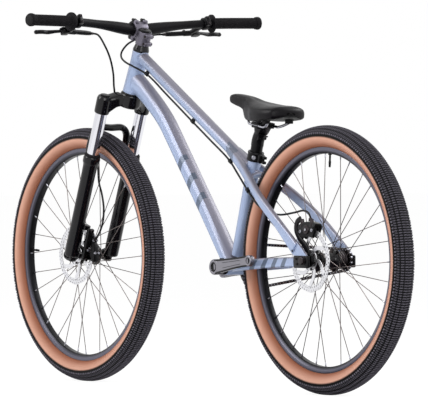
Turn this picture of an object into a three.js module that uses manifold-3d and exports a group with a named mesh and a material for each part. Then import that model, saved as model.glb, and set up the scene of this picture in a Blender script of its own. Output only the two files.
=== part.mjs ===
// A dirt jump bicycle with a rigid rear, a short travel fork, disc brakes and one gear.
// Millimetres. +X points forward, +Y to the rider's left, +Z up.
// The origin is on the ground, midway between the wheel axles.
import * as THREE from "three";
import { mergeVertices } from "three/addons/utils/BufferGeometryUtils.js";
import Module from "manifold-3d";

const wasm = await Module();
wasm.setup();

// Clearances
const gap = 0.3;
const overrun = 6;

// Wheels
const betweenTyres = 396;
const wheelSides = 32;
const rim = {
  flangeRadius: 283, bedDepth: 8, spokeDepth: 16.5, halfWidth: 13.4, bedHalfWidth: 8, wall: 2.2,
};
const tyre = { height: 54, halfWidth: 29.5, sectionRadius: 28, wall: 3.5 };
const groove = { depth: 2.2, halfWidth: 2.2, innerTurn: 22.5, outerTurn: 45 };
const wheelRadius = rim.flangeRadius + tyre.height;
const spokeBedRadius = rim.flangeRadius - rim.spokeDepth;
const wheelbase = wheelRadius * 2 + betweenTyres;
const spoke = { count: 16, crossings: 3, width: 2.4, headOffset: 1.25 };
const rotor = { radius: 80, trackWidth: 15, thickness: 1.8, bossRadius: 22, armWidth: 9, arms: 6 };
const frontHub = {
  overLocknut: 100, axleRadius: 7.5, shellRadius: 15, flangeRadius: 28, flangeThickness: 3.2,
  flangePlace: 26, rotorPlace: 36, mountRadius: 21, endRadius: 10.5,
};
const rearHub = {
  overLocknut: 135, axleRadius: 5, shellRadius: 18, flangeRadius: 29, flangeThickness: 3.2,
  flangePlaceLeft: 33, flangePlaceRight: 22, rotorPlace: 51, mountRadius: 21, endRadius: 10,
  driverRadius: 17, spacerRadius: 22, driverStart: 27,
};
const axleNut = { radius: 9.5, thickness: 7, washerRadius: 11, washerThickness: 1.6 };

// Drive
const crankLength = 170;
const crankAngle = THREE.MathUtils.degToRad(6.25);
const tyreToCrank = 51.85;
const chainstayLength = wheelRadius + tyreToCrank;
const bottomBracketDrop = 22;
const chainPitch = 12.7;
const ringTeeth = 28;
const cogTeeth = 13;
const chainLine = 55;
const tooth = { height: 2.6, thickness: 3.2, rootDepth: 3.2, tipShare: 0.16, valleyShare: 0.5 };
const chain = { plateHeight: 8.6, width: 9, groove: 4, roof: 1.2 };
const chainring = { armRadius: 20, armWidth: 13, arms: 4, rimDepth: 9 };
const crank = {
  bossRadius: 20, bossInner: 48.5, bossOuter: 73, eyeRadius: 14.5, eyeInner: 74.5, eyeOuter: 87.5,
  rootHeight: 33, tipHeight: 25, edge: 2, spindleRadius: 12, pedalHoleRadius: 7, rightBossInner: 57,
};
const bottomBracket = { shellRadius: 20.5, shellHalf: 36.5, bore: 17, cupRadius: 20, cupWidth: 9.5 };

// Frame
const headAngle = THREE.MathUtils.degToRad(69);
const seatAngle = THREE.MathUtils.degToRad(73.4);
const tubeWall = 2;
const head = { length: 115, bottomRadius: 25, topRadius: 21, bore: 17.5, collar: 12 };
const topTube = { radius: 15.9, slope: THREE.MathUtils.degToRad(31), belowTop: 11 };
const downTube = {
  radius: 22, headHeight: 35, elbowReach: 135, elbowRun: 80, headAngle: THREE.MathUtils.degToRad(32),
  aimAhead: 10, headHalfHeight: 27, headHalfWidth: 20.5, footHalfHeight: 21, footHalfWidth: 26,
};
const seatTube = { radius: 17.45, overTopTube: 49.4 };
const seatstay = {
  halfHeight: 12.5, halfWidth: 8.5, startAhead: 98, startOffset: 11, kneeAhead: 34, kneeOffset: 20,
  hipBehind: 22, hipOffset: 33, middleOffset: 59.5, middleAhead: 199, middleHeight: 150,
  lowOffset: 70, lowAhead: 110, lowHeight: 90, endOffset: 71.5, endAhead: 36, endHeight: 30, endShare: 0.82,
};
const chainstay = {
  halfHeight: 14, halfWidth: 6.6, startBehind: 28.2, startOffset: 31, bendBehind: 63.2, bendOffset: 43.4,
  middleBehind: 208.2, middleOffset: 51.5, endOffset: 68.5,
  startDrop: 20, bendDrop: 18, middleDrop: 9, endDrop: 4,
};
const dropout = {
  innerFace: 67.8, thickness: 7, ahead: 40, behind: 20, above: 12, below: 19,
  plateThickness: 6, plateAhead: 82, plateHeight: 50, holeRadius: 3, holeAhead: 44, holeHeight: 27,
};
const collar = { height: 24, proud: 1, radius: 20.3, lugReach: 33, lugHalf: 6.5, slit: 1.2 };

// Seat
const seatpost = {
  radius: 15.45, wall: 2, insertion: 188, extension: 34, yokeRadius: 12, yokeHalf: 17, yokeBehind: 12,
  yokeOver: 6,
};
const saddle = {
  pitch: THREE.MathUtils.degToRad(9), length: 263, halfWidth: 65, noseAhead: 137, lift: 11, height: 70,
  cover: 12, room: 1, shell: 3, sideShare: 0.7, edgeShare: 0.62, drawnShare: 0.1,
  railRadius: 3.5, railOffset: 22, railFlat: 33, railBend: 16, railRear: 70, railRearOffset: 36,
  railRearRise: 18, railFront: 92, railFrontOffset: 9, railFrontRise: 22, railNoseRise: 38,
  railHoldShare: 0.8, socketHalf: 8,
};
const saddleClamp = { behind: 7, railRise: 33, halfLength: 17, halfWidth: 27, above: 7, below: 7 };

// Front end, measured along and ahead of the steering axis
const axleAhead = 44.3;
const fork = { travel: 100, overTyre: 1, sealClear: 19, floorClear: 6 };
const steerer = { radius: 14.3, bore: 11.8, seat: 2, topClear: 0.4 };
const lowerCup = { height: 12, radius: 26, skirt: 10 };
const upperCup = { height: 18, radius: 21.6, rim: 6, spacerRadius: 17.5, skirt: 10 };
const crown = {
  hubRadius: 26, hubHeight: 27.7, lugRadius: 20, lugHeight: 51, lugTopDrop: 5.7,
  armHeight: 22, armDepth: 15, rootAhead: 4, archRise: 6, rootShare: 0.8, endShare: 0.86,
};
const leg = {
  ahead: 27, offset: 63.5, radius: 19.4, bottom: -10, sealHeight: 28, collarRadius: 21.3,
  sealRadius: 19, footShare: 0.7, bevelShare: 0.4, lipShare: 0.3,
};
const stanchion = { radius: 16, wall: 2, proud: 1, capRadius: 13, capHeight: 3.5 };
const lowersBore = { bottom: 12 };
const arch = {
  ahead: 55.8, halfDepth: 6, halfThickness: 8.5, overTyre: 20, shoulderDrop: 17, sideDrop: 49, footDrop: 89,
  footAhead: 46, footOffset: 58, sideOffset: 57, shoulderOffset: 51, bendOffset: 35,
};
const frontLug = { radius: 15, inner: 50.3, outer: 60, pocketRadius: 13, pocketFace: 50.3 };
const frontAxle = { headRadius: 10.5, headLength: 6 };
const airPiston = {
  footRadius: 9, footHeight: 12, rodRadius: 5, headRadius: 13.5, headBottom: 190, headTop: 212,
};
const postMount = {
  plateAhead: -24, plateThickness: 12, tabLow: 14, tabHigh: 94, tabSize: 12, tabInner: 42, tabOuter: 60,
};
const caliper = {
  innerDepth: 23, outerRise: 17, halfAngle: THREE.MathUtils.degToRad(24), innerShare: 1.25,
  frontInboard: 8.5, rearInboard: 14, outboard: 9.5,
  slot: 4.4, slotRoom: 2.5,
  frontAngle: THREE.MathUtils.degToRad(146), rearAngle: THREE.MathUtils.degToRad(86),
  hoseAngle: THREE.MathUtils.degToRad(135), hoseOffset: 1,
};
const rearBracket = {
  inner: 55.5, outer: 61, ringRadius: 18, ringBore: 10.6, armHalf: 7,
  armShares: [[0.075, 0.075], [0.0525, 0.4075], [0.5625, 0.7875], [0.68125, 1.08125]],
};

// Cockpit
const stem = {
  height: 36.6, clampRadius: 19, reach: 32, barRise: 11.4, halfWidth: 19, clampOuter: 22.5,
  neckHalfWidth: 14, neckHalfHeight: 16, slit: 1.2, earHeight: 28, earDepth: 11, earThickness: 6.5,
};
const topCap = { radius: 17.2, height: 5, studRadius: 3.2, studLength: 26 };
const bar = {
  clampRadius: 15.9, endRadius: 11.1, wall: 1.8, clampHalf: 34, taperEnd: 150, kneeOffset: 116,
  kneeAhead: -1.7, kneeUp: 12.4, gripStart: 222, gripAhead: -10.4, gripUp: 23.3, half: 364,
  endAhead: -26.7, endUp: 32.2,
  flatHalf: 23, clampRise: 1.2,
};
const grip = {
  radius: 14.8, flangeRadius: 24.3, flangeThickness: 4, capRadius: 17.2, capThickness: 6, endWall: 3,
};
const brake = {
  clampOffset: 203, clampRadius: 16.5, clampHalf: 6, tilt: THREE.MathUtils.degToRad(45),
  cylinderAhead: 56, cylinderFlare: 11, cylinderInner: 120, cylinderOuter: 204, cylinderRadius: 7.5,
  cylinderTip: 6, pivotOffset: 212, lugHalf: 9, lugReach: 9, lugHalfHeight: 8.5, slotReach: 15.3,
  armOffset: 191, armHalfWidth: 6, armHalfHeight: 5, rootShare: 1.6,
};
const lever = {
  halfHeight: 3.6, eyeRadius: 6, bladeHalfHeight: 5.6, bladeHalfDepth: 4.4, neckHalfDepth: 3.4, hollow: 2,
  neckOffset: 236, bladeOffset: 256, tipOffset: 294, neckAhead: 59, bladeAhead: 64, tipAhead: 64,
  tipHalf: 5.5, pinRadius: 2.6, neckShare: 0.8,
};
const hose = { radius: 2.6, sides: 8, straight: 9 };

// Heights along the steering axis, from the axle up: each piece is stacked on the one below it.
crown.hubBottom = wheelRadius + fork.travel + fork.overTyre;
crown.hubTop = crown.hubBottom + crown.hubHeight;
crown.lugTop = crown.hubTop - crown.lugTopDrop;
crown.lugBottom = crown.lugTop - crown.lugHeight;
lowerCup.bottom = crown.hubTop + gap;
head.bottom = lowerCup.bottom + lowerCup.height;
head.top = head.bottom + head.length;
upperCup.shoulder = head.top + upperCup.rim;
upperCup.top = head.top + upperCup.height;
stem.bottom = upperCup.top + gap;
stem.top = stem.bottom + stem.height;
stem.barHeight = (stem.bottom + stem.top) / 2 + stem.barRise;
steerer.bottom = crown.hubBottom + steerer.seat;
steerer.top = stem.top - steerer.topClear;
stanchion.bottom = lowersBore.bottom + fork.travel + fork.floorClear;
stanchion.top = crown.lugTop + stanchion.proud;
stanchion.capTop = stanchion.top + stanchion.capHeight;
leg.sealTop = crown.lugBottom - fork.travel - fork.sealClear;
leg.top = leg.sealTop - leg.sealHeight;
arch.topHeight = wheelRadius + arch.overTyre;

// Directions and chief points
const X = new THREE.Vector3(1, 0, 0);
const Y = new THREE.Vector3(0, 1, 0);
const Z = new THREE.Vector3(0, 0, 1);
const V = (x, y, z) => new THREE.Vector3(x, y, z);
const rearCentre = V(-wheelbase / 2, 0, wheelRadius);
const frontCentre = V(wheelbase / 2, 0, wheelRadius);
const chainstayRun = Math.sqrt(chainstayLength ** 2 - bottomBracketDrop ** 2);
const crankCentre = V(rearCentre.x + chainstayRun, 0, rearCentre.z - bottomBracketDrop);
const steerUp = V(-Math.cos(headAngle), 0, Math.sin(headAngle));
const steerAhead = V(Math.sin(headAngle), 0, Math.cos(headAngle));
const steerOrigin = frontCentre.clone().addScaledVector(steerAhead, -axleAhead);
const seatUp = V(-Math.cos(seatAngle), 0, Math.sin(seatAngle));

// A point on the steering axis: how far up, how far ahead and how far to the left.
function steerPoint(up, ahead = 0, left = 0) {
  return steerOrigin.clone().addScaledVector(steerUp, up).addScaledVector(steerAhead, ahead)
    .addScaledVector(Y, left);
}

// A point on the seat tube's axis, as far up as it lies above the crank's centre.
function seatPoint(up, ahead = 0, left = 0) {
  const across = V(seatUp.z, 0, -seatUp.x);
  return crankCentre.clone().addScaledVector(seatUp, up).addScaledVector(across, ahead)
    .addScaledVector(Y, left);
}

// A closed geometry becomes a solid whose faces point out.
function solid(geometry) {
  const bare = new THREE.BufferGeometry();
  bare.setAttribute("position", geometry.getAttribute("position"));
  if (geometry.index) bare.setIndex(geometry.index);
  const merged = mergeVertices(bare.index ? bare.toNonIndexed() : bare);
  const triVerts = new Uint32Array(merged.index.array);
  const vertProperties = new Float32Array(merged.attributes.position.array);
  const made = new wasm.Manifold(new wasm.Mesh({ numProp: 3, vertProperties, triVerts }));
  if (made.volume() > 0) return made;
  for (let i = 0; i < triVerts.length; i += 3) {
    [triVerts[i + 1], triVerts[i + 2]] = [triVerts[i + 2], triVerts[i + 1]];
  }
  return new wasm.Manifold(new wasm.Mesh({ numProp: 3, vertProperties, triVerts }));
}

function joined(...solids) {
  return solids.reduce((sum, next) => sum.add(next));
}

function cut(base, ...tools) {
  return tools.reduce((rest, tool) => rest.subtract(tool), base);
}

// A matrix that takes +Z to the given direction and the origin to the given point.
function facing(point, direction) {
  const turn = new THREE.Quaternion().setFromUnitVectors(Z, direction.clone().normalize());
  return new THREE.Matrix4().compose(point, turn, V(1, 1, 1));
}

// The steering frame: X ahead, Y left, Z up the steering axis.
const steerFrame = new THREE.Matrix4().makeBasis(steerAhead, Y, steerUp).setPosition(steerOrigin);

// A round bar between two points, with a radius at each end.
function barrel(from, to, radius, sides = 16, endRadius = radius) {
  const length = from.distanceTo(to);
  const geometry = new THREE.CylinderGeometry(endRadius, radius, length, sides);
  geometry.rotateX(Math.PI / 2);
  const middle = from.clone().lerp(to, 0.5);
  return solid(geometry.applyMatrix4(facing(middle, to.clone().sub(from))));
}

// A bar like the last, run past both ends, for cutting.
function drill(from, to, radius, sides = 16) {
  const along = to.clone().sub(from).normalize().multiplyScalar(overrun);
  return barrel(from.clone().sub(along), to.clone().add(along), radius, sides);
}

function sleeve(from, to, outer, inner, sides = 16) {
  return cut(barrel(from, to, outer, sides), drill(from, to, inner, sides));
}

// A solid turned about an axis from a profile of [radius, height along the axis].
function turned(profile, matrix, sides = 14) {
  const closed = profile[0][0] > 0 ? [...profile, profile[0]] : profile;
  const geometry = new THREE.LatheGeometry(closed.map(([r, h]) => new THREE.Vector2(r, h)), sides);
  geometry.rotateX(Math.PI / 2);
  return solid(geometry.applyMatrix4(matrix));
}

// A box with its middle, half sizes and three directions.
function block(middle, halves, matrix = new THREE.Matrix4()) {
  const geometry = new THREE.BoxGeometry(halves.x * 2, halves.y * 2, halves.z * 2);
  geometry.translate(middle.x, middle.y, middle.z);
  return solid(geometry.applyMatrix4(matrix));
}

// A skin over a row of rings with as many points each, closed at both ends by fans.
function loft(rings) {
  const sides = rings[0].length;
  const corners = [];
  const face = (a, b, c) => corners.push(...a.toArray(), ...b.toArray(), ...c.toArray());
  for (let k = 0; k + 1 < rings.length; k += 1) {
    for (let i = 0; i < sides; i += 1) {
      const j = (i + 1) % sides;
      face(rings[k][i], rings[k][j], rings[k + 1][j]);
      face(rings[k][i], rings[k + 1][j], rings[k + 1][i]);
    }
  }
  const first = rings[0];
  const last = rings[rings.length - 1];
  const middle = (ring) => ring.reduce((sum, p) => sum.add(p), V(0, 0, 0)).divideScalar(sides);
  const start = middle(first);
  const end = middle(last);
  for (let i = 0; i < sides; i += 1) {
    const j = (i + 1) % sides;
    face(start, first[j], first[i]);
    face(end, last[i], last[j]);
  }
  const geometry = new THREE.BufferGeometry();
  geometry.setAttribute("position", new THREE.BufferAttribute(new Float32Array(corners), 3));
  return solid(geometry);
}

// A squared ellipse about a point, set out along two directions. A squareness of 1 is an ellipse.
function ringAt(point, side, up, halfSide, halfUp, sides = 12, squareness = 1) {
  const ring = [];
  for (let i = 0; i < sides; i += 1) {
    const turn = ((i + 0.5) / sides) * Math.PI * 2;
    const c = Math.cos(turn);
    const s = Math.sin(turn);
    const across = Math.sign(c) * Math.abs(c) ** squareness * halfSide;
    const above = Math.sign(s) * Math.abs(s) ** squareness * halfUp;
    ring.push(point.clone().addScaledVector(side, across).addScaledVector(up, above));
  }
  return ring;
}

// A tube along a curve, whose half width and half height follow the share of the way along.
function swept(curve, steps, halfSideAt, halfUpAt, sides = 12, squareness = 1) {
  const rings = [];
  for (let k = 0; k <= steps; k += 1) {
    const share = k / steps;
    const tangent = curve.getTangentAt(share);
    const side = V(0, 0, 1).cross(tangent).normalize();
    const up = tangent.clone().cross(side).normalize();
    const centre = curve.getPointAt(share);
    rings.push(ringAt(centre, side, up, halfSideAt(share), halfUpAt(share), sides, squareness));
  }
  return loft(rings);
}

const mix = (a, b, share) => a + (b - a) * share;
const ease = (share) => {
  const held = Math.min(Math.max(share, 0), 1);
  return held * held * (3 - 2 * held);
};

// Materials
function finish(color, roughness, metalness) {
  return new THREE.MeshStandardMaterial({ color, roughness, metalness });
}
const framePaint = finish(0xa9b6d2, 0.3, 0.2);
const blackGloss = finish(0x17171a, 0.3, 0.1);
const blackSatin = finish(0x26262a, 0.5, 0.3);
const greyAlloy = finish(0x6e6c76, 0.4, 0.6);
const silverAlloy = finish(0xb4b4bc, 0.35, 0.9);
const chrome = finish(0xd9d9de, 0.12, 1);
const steel = finish(0x9a9aa0, 0.4, 0.9);
const treadRubber = finish(0x2a262b, 0.85, 0);
const gripRubber = finish(0x1c1a1d, 0.8, 0);
const coverLeather = finish(0x2d2a30, 0.6, 0);
const hoseBlack = finish(0x151517, 0.45, 0);

const bicycle = new THREE.Group();

function add(name, made, material, parent = bicycle) {
  const mesh = made.getMesh();
  const geometry = new THREE.BufferGeometry();
  const places = new Float32Array((mesh.vertProperties.length / mesh.numProp) * 3);
  for (let i = 0; i < places.length / 3; i += 1) {
    const start = i * mesh.numProp;
    for (let axis = 0; axis < 3; axis += 1) places[i * 3 + axis] = mesh.vertProperties[start + axis];
  }
  geometry.setAttribute("position", new THREE.BufferAttribute(places, 3));
  geometry.setIndex(new THREE.BufferAttribute(new Uint32Array(mesh.triVerts), 1));
  geometry.computeVertexNormals();
  const piece = new THREE.Mesh(geometry, material);
  piece.name = name;
  parent.add(piece);
  return made;
}

// The pitch radius of a wheel with this many chain teeth
const pitchRadius = (teeth) => chainPitch / (2 * Math.sin(Math.PI / teeth));

// Wheels. Each is made about its own axle, with the axle along Y, and moved by its group.
const axleFrame = new THREE.Matrix4().makeBasis(X, Z.clone().negate(), Y);

function tyreSolid() {
  const centre = wheelRadius - tyre.sectionRadius;
  const innerTurns = 4;
  const lip = Math.asin((rim.halfWidth - gap * 3) / (tyre.halfWidth - tyre.wall));
  const beadDepth = (centre - rim.flangeRadius - gap) / Math.cos(lip);
  const at = (angle, inset = 0) => {
    const height = Math.cos(angle);
    const reach = height < 0 ? beadDepth : tyre.sectionRadius - inset;
    return [centre + height * reach, Math.sin(angle) * (tyre.halfWidth - inset)];
  };
  // Half of the outer layer: the side, then two grooves round the tread
  const brim = groove.halfWidth / tyre.sectionRadius;
  const half = [[Math.PI - lip], [Math.PI * 0.625], [Math.PI * 0.415]];
  for (const turn of [groove.outerTurn, groove.innerTurn]) {
    const middle = THREE.MathUtils.degToRad(turn);
    half.push([middle + brim], [middle, groove.depth], [middle - brim]);
  }
  const mirrored = half.map(([angle, inset]) => [-angle, inset]).reverse();
  const outer = [...half, [0], ...mirrored].map(([angle, inset]) => at(angle, inset));
  const inner = [];
  for (let i = 0; i <= innerTurns; i += 1) {
    inner.push(at(mix(lip - Math.PI, Math.PI - lip, i / innerTurns), tyre.wall));
  }
  return turned([...outer, ...inner], axleFrame, wheelSides);
}

function rimSolid() {
  const w = rim.halfWidth;
  const t = rim.wall;
  const bed = rim.flangeRadius - rim.bedDepth;
  const lower = spokeBedRadius;
  return turned([
    [rim.flangeRadius, w], [bed, w], [lower, rim.bedHalfWidth], [lower, -rim.bedHalfWidth],
    [bed, -w], [rim.flangeRadius, -w], [rim.flangeRadius, -w + t],
    [lower + t, -rim.bedHalfWidth], [lower + t, rim.bedHalfWidth], [rim.flangeRadius, w - t],
  ], axleFrame, wheelSides);
}

// Spokes of one flange. Each leaves its own hole and crosses three others on the way to the rim.
function spokeSet(flangeRadius, flangePlace, rimPlace, startAngle) {
  const step = (Math.PI * 2) / spoke.count;
  const lean = step * spoke.crossings;
  const hubRadius = flangeRadius + spoke.width;
  const rimRadius = spokeBedRadius - gap * 3;
  const made = [];
  for (let i = 0; i < spoke.count; i += 1) {
    const way = i % 2 === 0 ? 1 : -1;
    const hubAngle = startAngle + step * i;
    const rimAngle = hubAngle + way * lean;
    const place = flangePlace + way * spoke.headOffset;
    const from = V(Math.cos(hubAngle) * hubRadius, place, Math.sin(hubAngle) * hubRadius);
    const to = V(Math.cos(rimAngle) * rimRadius, rimPlace, Math.sin(rimAngle) * rimRadius);
    const across = to.clone().sub(from).cross(Y).normalize();
    const half = spoke.width / Math.SQRT2;
    made.push(loft([ringAt(from, across, Y, half, half, 3), ringAt(to, across, Y, half, half, 3)]));
  }
  return joined(...made);
}

function rotorSolid(place, boreRadius) {
  const half = rotor.thickness / 2;
  const low = V(0, place - half, 0);
  const high = V(0, place + half, 0);
  const trackInner = rotor.radius - rotor.trackWidth;
  const track = sleeve(low, high, rotor.radius, trackInner, 24);
  const boss = sleeve(low, high, rotor.bossRadius + rotor.armWidth / 2, boreRadius, 14);
  const arms = [];
  for (let i = 0; i < rotor.arms; i += 1) {
    const turn = new THREE.Matrix4().makeRotationY((i / rotor.arms) * Math.PI * 2);
    const reach = (trackInner + rotor.armWidth / 2) / 2;
    const middle = V(reach + rotor.bossRadius / 2, place, 0);
    arms.push(block(middle, V(reach - rotor.bossRadius / 2, half, rotor.armWidth / 2), turn));
  }
  const thick = joined(track, boss, ...arms);
  return cut(thick, drill(low, high, boreRadius, 14));
}

function frontHubSolid() {
  const end = frontHub.overLocknut / 2;
  const h = frontHub;
  const lip = h.flangeThickness / 2;
  const bore = h.axleRadius + gap;
  const mount = h.rotorPlace - rotor.thickness / 2 - gap;
  return turned([
    [bore, end], [h.endRadius, end], [h.endRadius, mount], [h.mountRadius, mount],
    [h.mountRadius, h.flangePlace + lip], [h.flangeRadius, h.flangePlace + lip],
    [h.flangeRadius, h.flangePlace - lip], [h.shellRadius, h.flangePlace - lip - lip],
    [h.shellRadius, -h.flangePlace + lip + lip], [h.flangeRadius, -h.flangePlace + lip],
    [h.flangeRadius, -h.flangePlace - lip], [h.endRadius, -h.flangePlace - lip - lip],
    [h.endRadius, -end], [bore, -end],
  ], axleFrame, 14);
}

function rearHubSolid() {
  const h = rearHub;
  const lip = h.flangeThickness / 2;
  const bore = h.axleRadius + gap;
  const mount = h.rotorPlace - rotor.thickness / 2 - gap;
  const end = h.overLocknut / 2;
  return turned([
    [bore, end], [h.endRadius, end], [h.endRadius, mount], [h.mountRadius, mount],
    [h.mountRadius, h.flangePlaceLeft + lip], [h.flangeRadius, h.flangePlaceLeft + lip],
    [h.flangeRadius, h.flangePlaceLeft - lip], [h.shellRadius, h.flangePlaceLeft - lip - lip],
    [h.shellRadius, -h.flangePlaceRight + lip + lip], [h.flangeRadius, -h.flangePlaceRight + lip],
    [h.flangeRadius, -h.flangePlaceRight - lip], [h.driverRadius, -h.flangePlaceRight - lip],
    [h.driverRadius, -h.driverStart + gap], [bore, -h.driverStart + gap],
  ], axleFrame, 14);
}

function wheel(prefix, centre, hub, rotorPlace, rotorBore, leftFlange, rightFlange, hubMade) {
  const group = new THREE.Group();
  group.position.copy(centre);
  bicycle.add(group);
  add(prefix + "_tyre", tyreSolid(), treadRubber, group);
  add(prefix + "_rim", rimSolid(), blackSatin, group);
  const step = (Math.PI * 2) / spoke.count;
  const rimPlace = rim.bedHalfWidth / 2;
  add(prefix + "_spokes_left", spokeSet(hub.flangeRadius, leftFlange, rimPlace, 0), steel, group);
  add(prefix + "_spokes_right", spokeSet(hub.flangeRadius, -rightFlange, -rimPlace, step / 2), steel, group);
  add(prefix + "_hub", hubMade, blackGloss, group);
  add(prefix + "_rotor", rotorSolid(rotorPlace, rotorBore), silverAlloy, group);
}

wheel("front", frontCentre, frontHub, frontHub.rotorPlace, frontHub.endRadius + gap,
  frontHub.flangePlace, frontHub.flangePlace, frontHubSolid());
wheel("rear", rearCentre, rearHub, rearHub.rotorPlace, rearHub.endRadius + gap,
  rearHub.flangePlaceLeft, rearHub.flangePlaceRight, rearHubSolid());

// A toothed wheel: its teeth lie on the pitch circle, with a tooth straight up at rest.
function toothedDisc(teeth, centre, place, lead) {
  const pitch = pitchRadius(teeth);
  const shape = new THREE.Shape();
  for (let i = 0; i < teeth; i += 1) {
    const marks = [
      [-tooth.tipShare, tooth.height], [tooth.tipShare, tooth.height], [tooth.valleyShare, -tooth.rootDepth],
    ];
    for (const [share, rise] of marks) {
      const angle = lead + ((i + share) / teeth) * Math.PI * 2;
      const x = Math.cos(angle) * (pitch + rise);
      const z = Math.sin(angle) * (pitch + rise);
      if (i === 0 && share < 0) shape.moveTo(x, z);
      else shape.lineTo(x, z);
    }
  }
  shape.closePath();
  const geometry = new THREE.ExtrudeGeometry(shape, { depth: tooth.thickness, bevelEnabled: false });
  geometry.rotateX(Math.PI / 2);
  geometry.translate(centre.x, place + tooth.thickness / 2, centre.z);
  return solid(geometry);
}

// The chain's loop: two arcs on the pitch circles, moved out by an offset, and their tangents.
function chainShape(offset) {
  const span = rearCentre.clone().sub(crankCentre);
  const distance = span.length();
  const heading = Math.atan2(span.z, span.x);
  const big = pitchRadius(ringTeeth);
  const small = pitchRadius(cogTeeth);
  const lean = Math.asin((big - small) / distance);
  const shape = new THREE.Shape();
  const arcs = [
    [crankCentre, big + offset, heading + Math.PI / 2 - lean, heading + Math.PI * 1.5 + lean, 20],
    [rearCentre, small + offset, heading - Math.PI / 2 + lean, heading + Math.PI / 2 - lean, 12],
  ];
  let started = false;
  for (const [centre, radius, from, to, steps] of arcs) {
    for (let i = 0; i <= steps; i += 1) {
      const angle = mix(from, to, i / steps);
      const x = centre.x + Math.cos(angle) * radius;
      const z = centre.z + Math.sin(angle) * radius;
      if (started) shape.lineTo(x, z);
      else shape.moveTo(x, z);
      started = true;
    }
  }
  shape.closePath();
  return shape;
}

function chainSlab(offset, width) {
  const geometry = new THREE.ExtrudeGeometry(chainShape(offset), { depth: width, bevelEnabled: false });
  geometry.rotateX(Math.PI / 2);
  geometry.translate(0, -chainLine + width / 2, 0);
  return solid(geometry);
}

function chainSolid() {
  const half = chain.plateHeight / 2;
  const outside = chainSlab(half, chain.width);
  const inside = chainSlab(-half, chain.width + overrun);
  const groove = chainSlab(half - chain.roof, chain.groove);
  return cut(outside, inside, groove);
}
add("chain", chainSolid(), steel);

// Cranks. The left arm points to the rear at rest and the right arm to the front.
const crankWay = V(-Math.cos(crankAngle), 0, Math.sin(crankAngle));

function crankArm(side, bossInner) {
  const way = crankWay.clone().multiplyScalar(side);
  const eye = crankCentre.clone().addScaledVector(way, crankLength);
  const at = (point, place) => point.clone().setY(side * place);
  const boss = barrel(at(crankCentre, bossInner), at(crankCentre, crank.bossOuter), crank.bossRadius, 20);
  const tip = barrel(at(eye, crank.eyeInner), at(eye, crank.eyeOuter), crank.eyeRadius, 16);
  const across = V(-way.z, 0, way.x);
  const ringFor = (point, low, high, height) => ringAt(
    at(point, (low + high) / 2), Y, across, (high - low) / 2, height / 2, 12, 0.45,
  );
  const link = loft([
    ringFor(crankCentre, bossInner + crank.edge * 2, crank.bossOuter - crank.edge, crank.rootHeight),
    ringFor(eye, crank.eyeInner + crank.edge / 2, crank.eyeOuter - crank.edge, crank.tipHeight),
  ]);
  const pedalHole = drill(at(eye, crank.eyeInner), at(eye, crank.eyeOuter), crank.pedalHoleRadius, 12);
  return cut(joined(boss, tip, link), pedalHole);
}

function crankLeft() {
  const from = crankCentre.clone().setY(crank.bossInner);
  const to = crankCentre.clone().setY(crank.bossOuter);
  return cut(crankArm(1, crank.bossInner), drill(from, to, crank.spindleRadius + gap, 16));
}

function crankRight() {
  const end = crankCentre.clone().setY(crank.bossOuter - crank.edge);
  const root = crankCentre.clone().setY(-crank.rightBossInner - crank.edge);
  const bore = crank.spindleRadius / 2;
  const spindle = cut(barrel(root, end, crank.spindleRadius, 16), drill(root.clone().setY(0), end, bore, 10));
  return joined(crankArm(-1, crank.rightBossInner), spindle);
}

function chainringSolid() {
  const disc = toothedDisc(ringTeeth, crankCentre, -chainLine, Math.PI / 2);
  const low = crankCentre.clone().setY(-chainLine - tooth.thickness / 2);
  const high = crankCentre.clone().setY(-chainLine + tooth.thickness / 2);
  const inner = pitchRadius(ringTeeth) - tooth.rootDepth - chainring.rimDepth;
  const rimPart = cut(disc, drill(low, high, inner, 20));
  const hub = barrel(low, high, chainring.armRadius, 16);
  const arms = [];
  for (let i = 0; i < chainring.arms; i += 1) {
    const angle = (i / chainring.arms) * Math.PI * 2 + Math.PI / chainring.arms;
    const turn = new THREE.Matrix4().makeRotationY(angle);
    const matrix = new THREE.Matrix4().makeTranslation(crankCentre.x, -chainLine, crankCentre.z);
    matrix.multiply(turn);
    const reach = inner + chainring.rimDepth / 2;
    arms.push(block(V(reach / 2, 0, 0), V(reach / 2, tooth.thickness / 2, chainring.armWidth / 2), matrix));
  }
  return cut(joined(rimPart, hub, ...arms), drill(low, high, crank.spindleRadius + gap, 16));
}

function rearCogSolid() {
  const disc = toothedDisc(cogTeeth, rearCentre, -chainLine, Math.PI / 2);
  const h = rearHub;
  const centre = facing(rearCentre, Y.clone().negate());
  const half = tooth.thickness / 2;
  const end = h.overLocknut / 2;
  const body = turned([
    [h.axleRadius + gap, h.driverStart], [h.spacerRadius, h.driverStart],
    [h.spacerRadius, chainLine - half * 2], [h.driverRadius, chainLine - half],
    [h.driverRadius, end - h.axleRadius], [h.endRadius, end - h.axleRadius], [h.endRadius, end],
    [h.axleRadius + gap, end],
  ], centre, 12);
  const from = rearCentre.clone().setY(-chainLine - half);
  const to = rearCentre.clone().setY(-chainLine + half);
  return cut(joined(disc, body), drill(from, to, h.axleRadius + gap, 24));
}

function bottomBracketSolid() {
  const b = bottomBracket;
  const outer = b.shellHalf + gap;
  const end = outer + b.cupWidth;
  return turned([
    [crank.spindleRadius + gap, -end], [b.cupRadius, -end], [b.cupRadius, -outer], [b.bore - gap, -outer],
    [b.bore - gap, outer], [b.cupRadius, outer], [b.cupRadius, end], [crank.spindleRadius + gap, end],
  ], facing(crankCentre, Y), 20);
}

const shellFrom = crankCentre.clone().setY(-bottomBracket.shellHalf);
const shellTo = crankCentre.clone().setY(bottomBracket.shellHalf);
const shellClear = drill(shellFrom, shellTo, bottomBracket.shellRadius + gap, 24);

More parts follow.
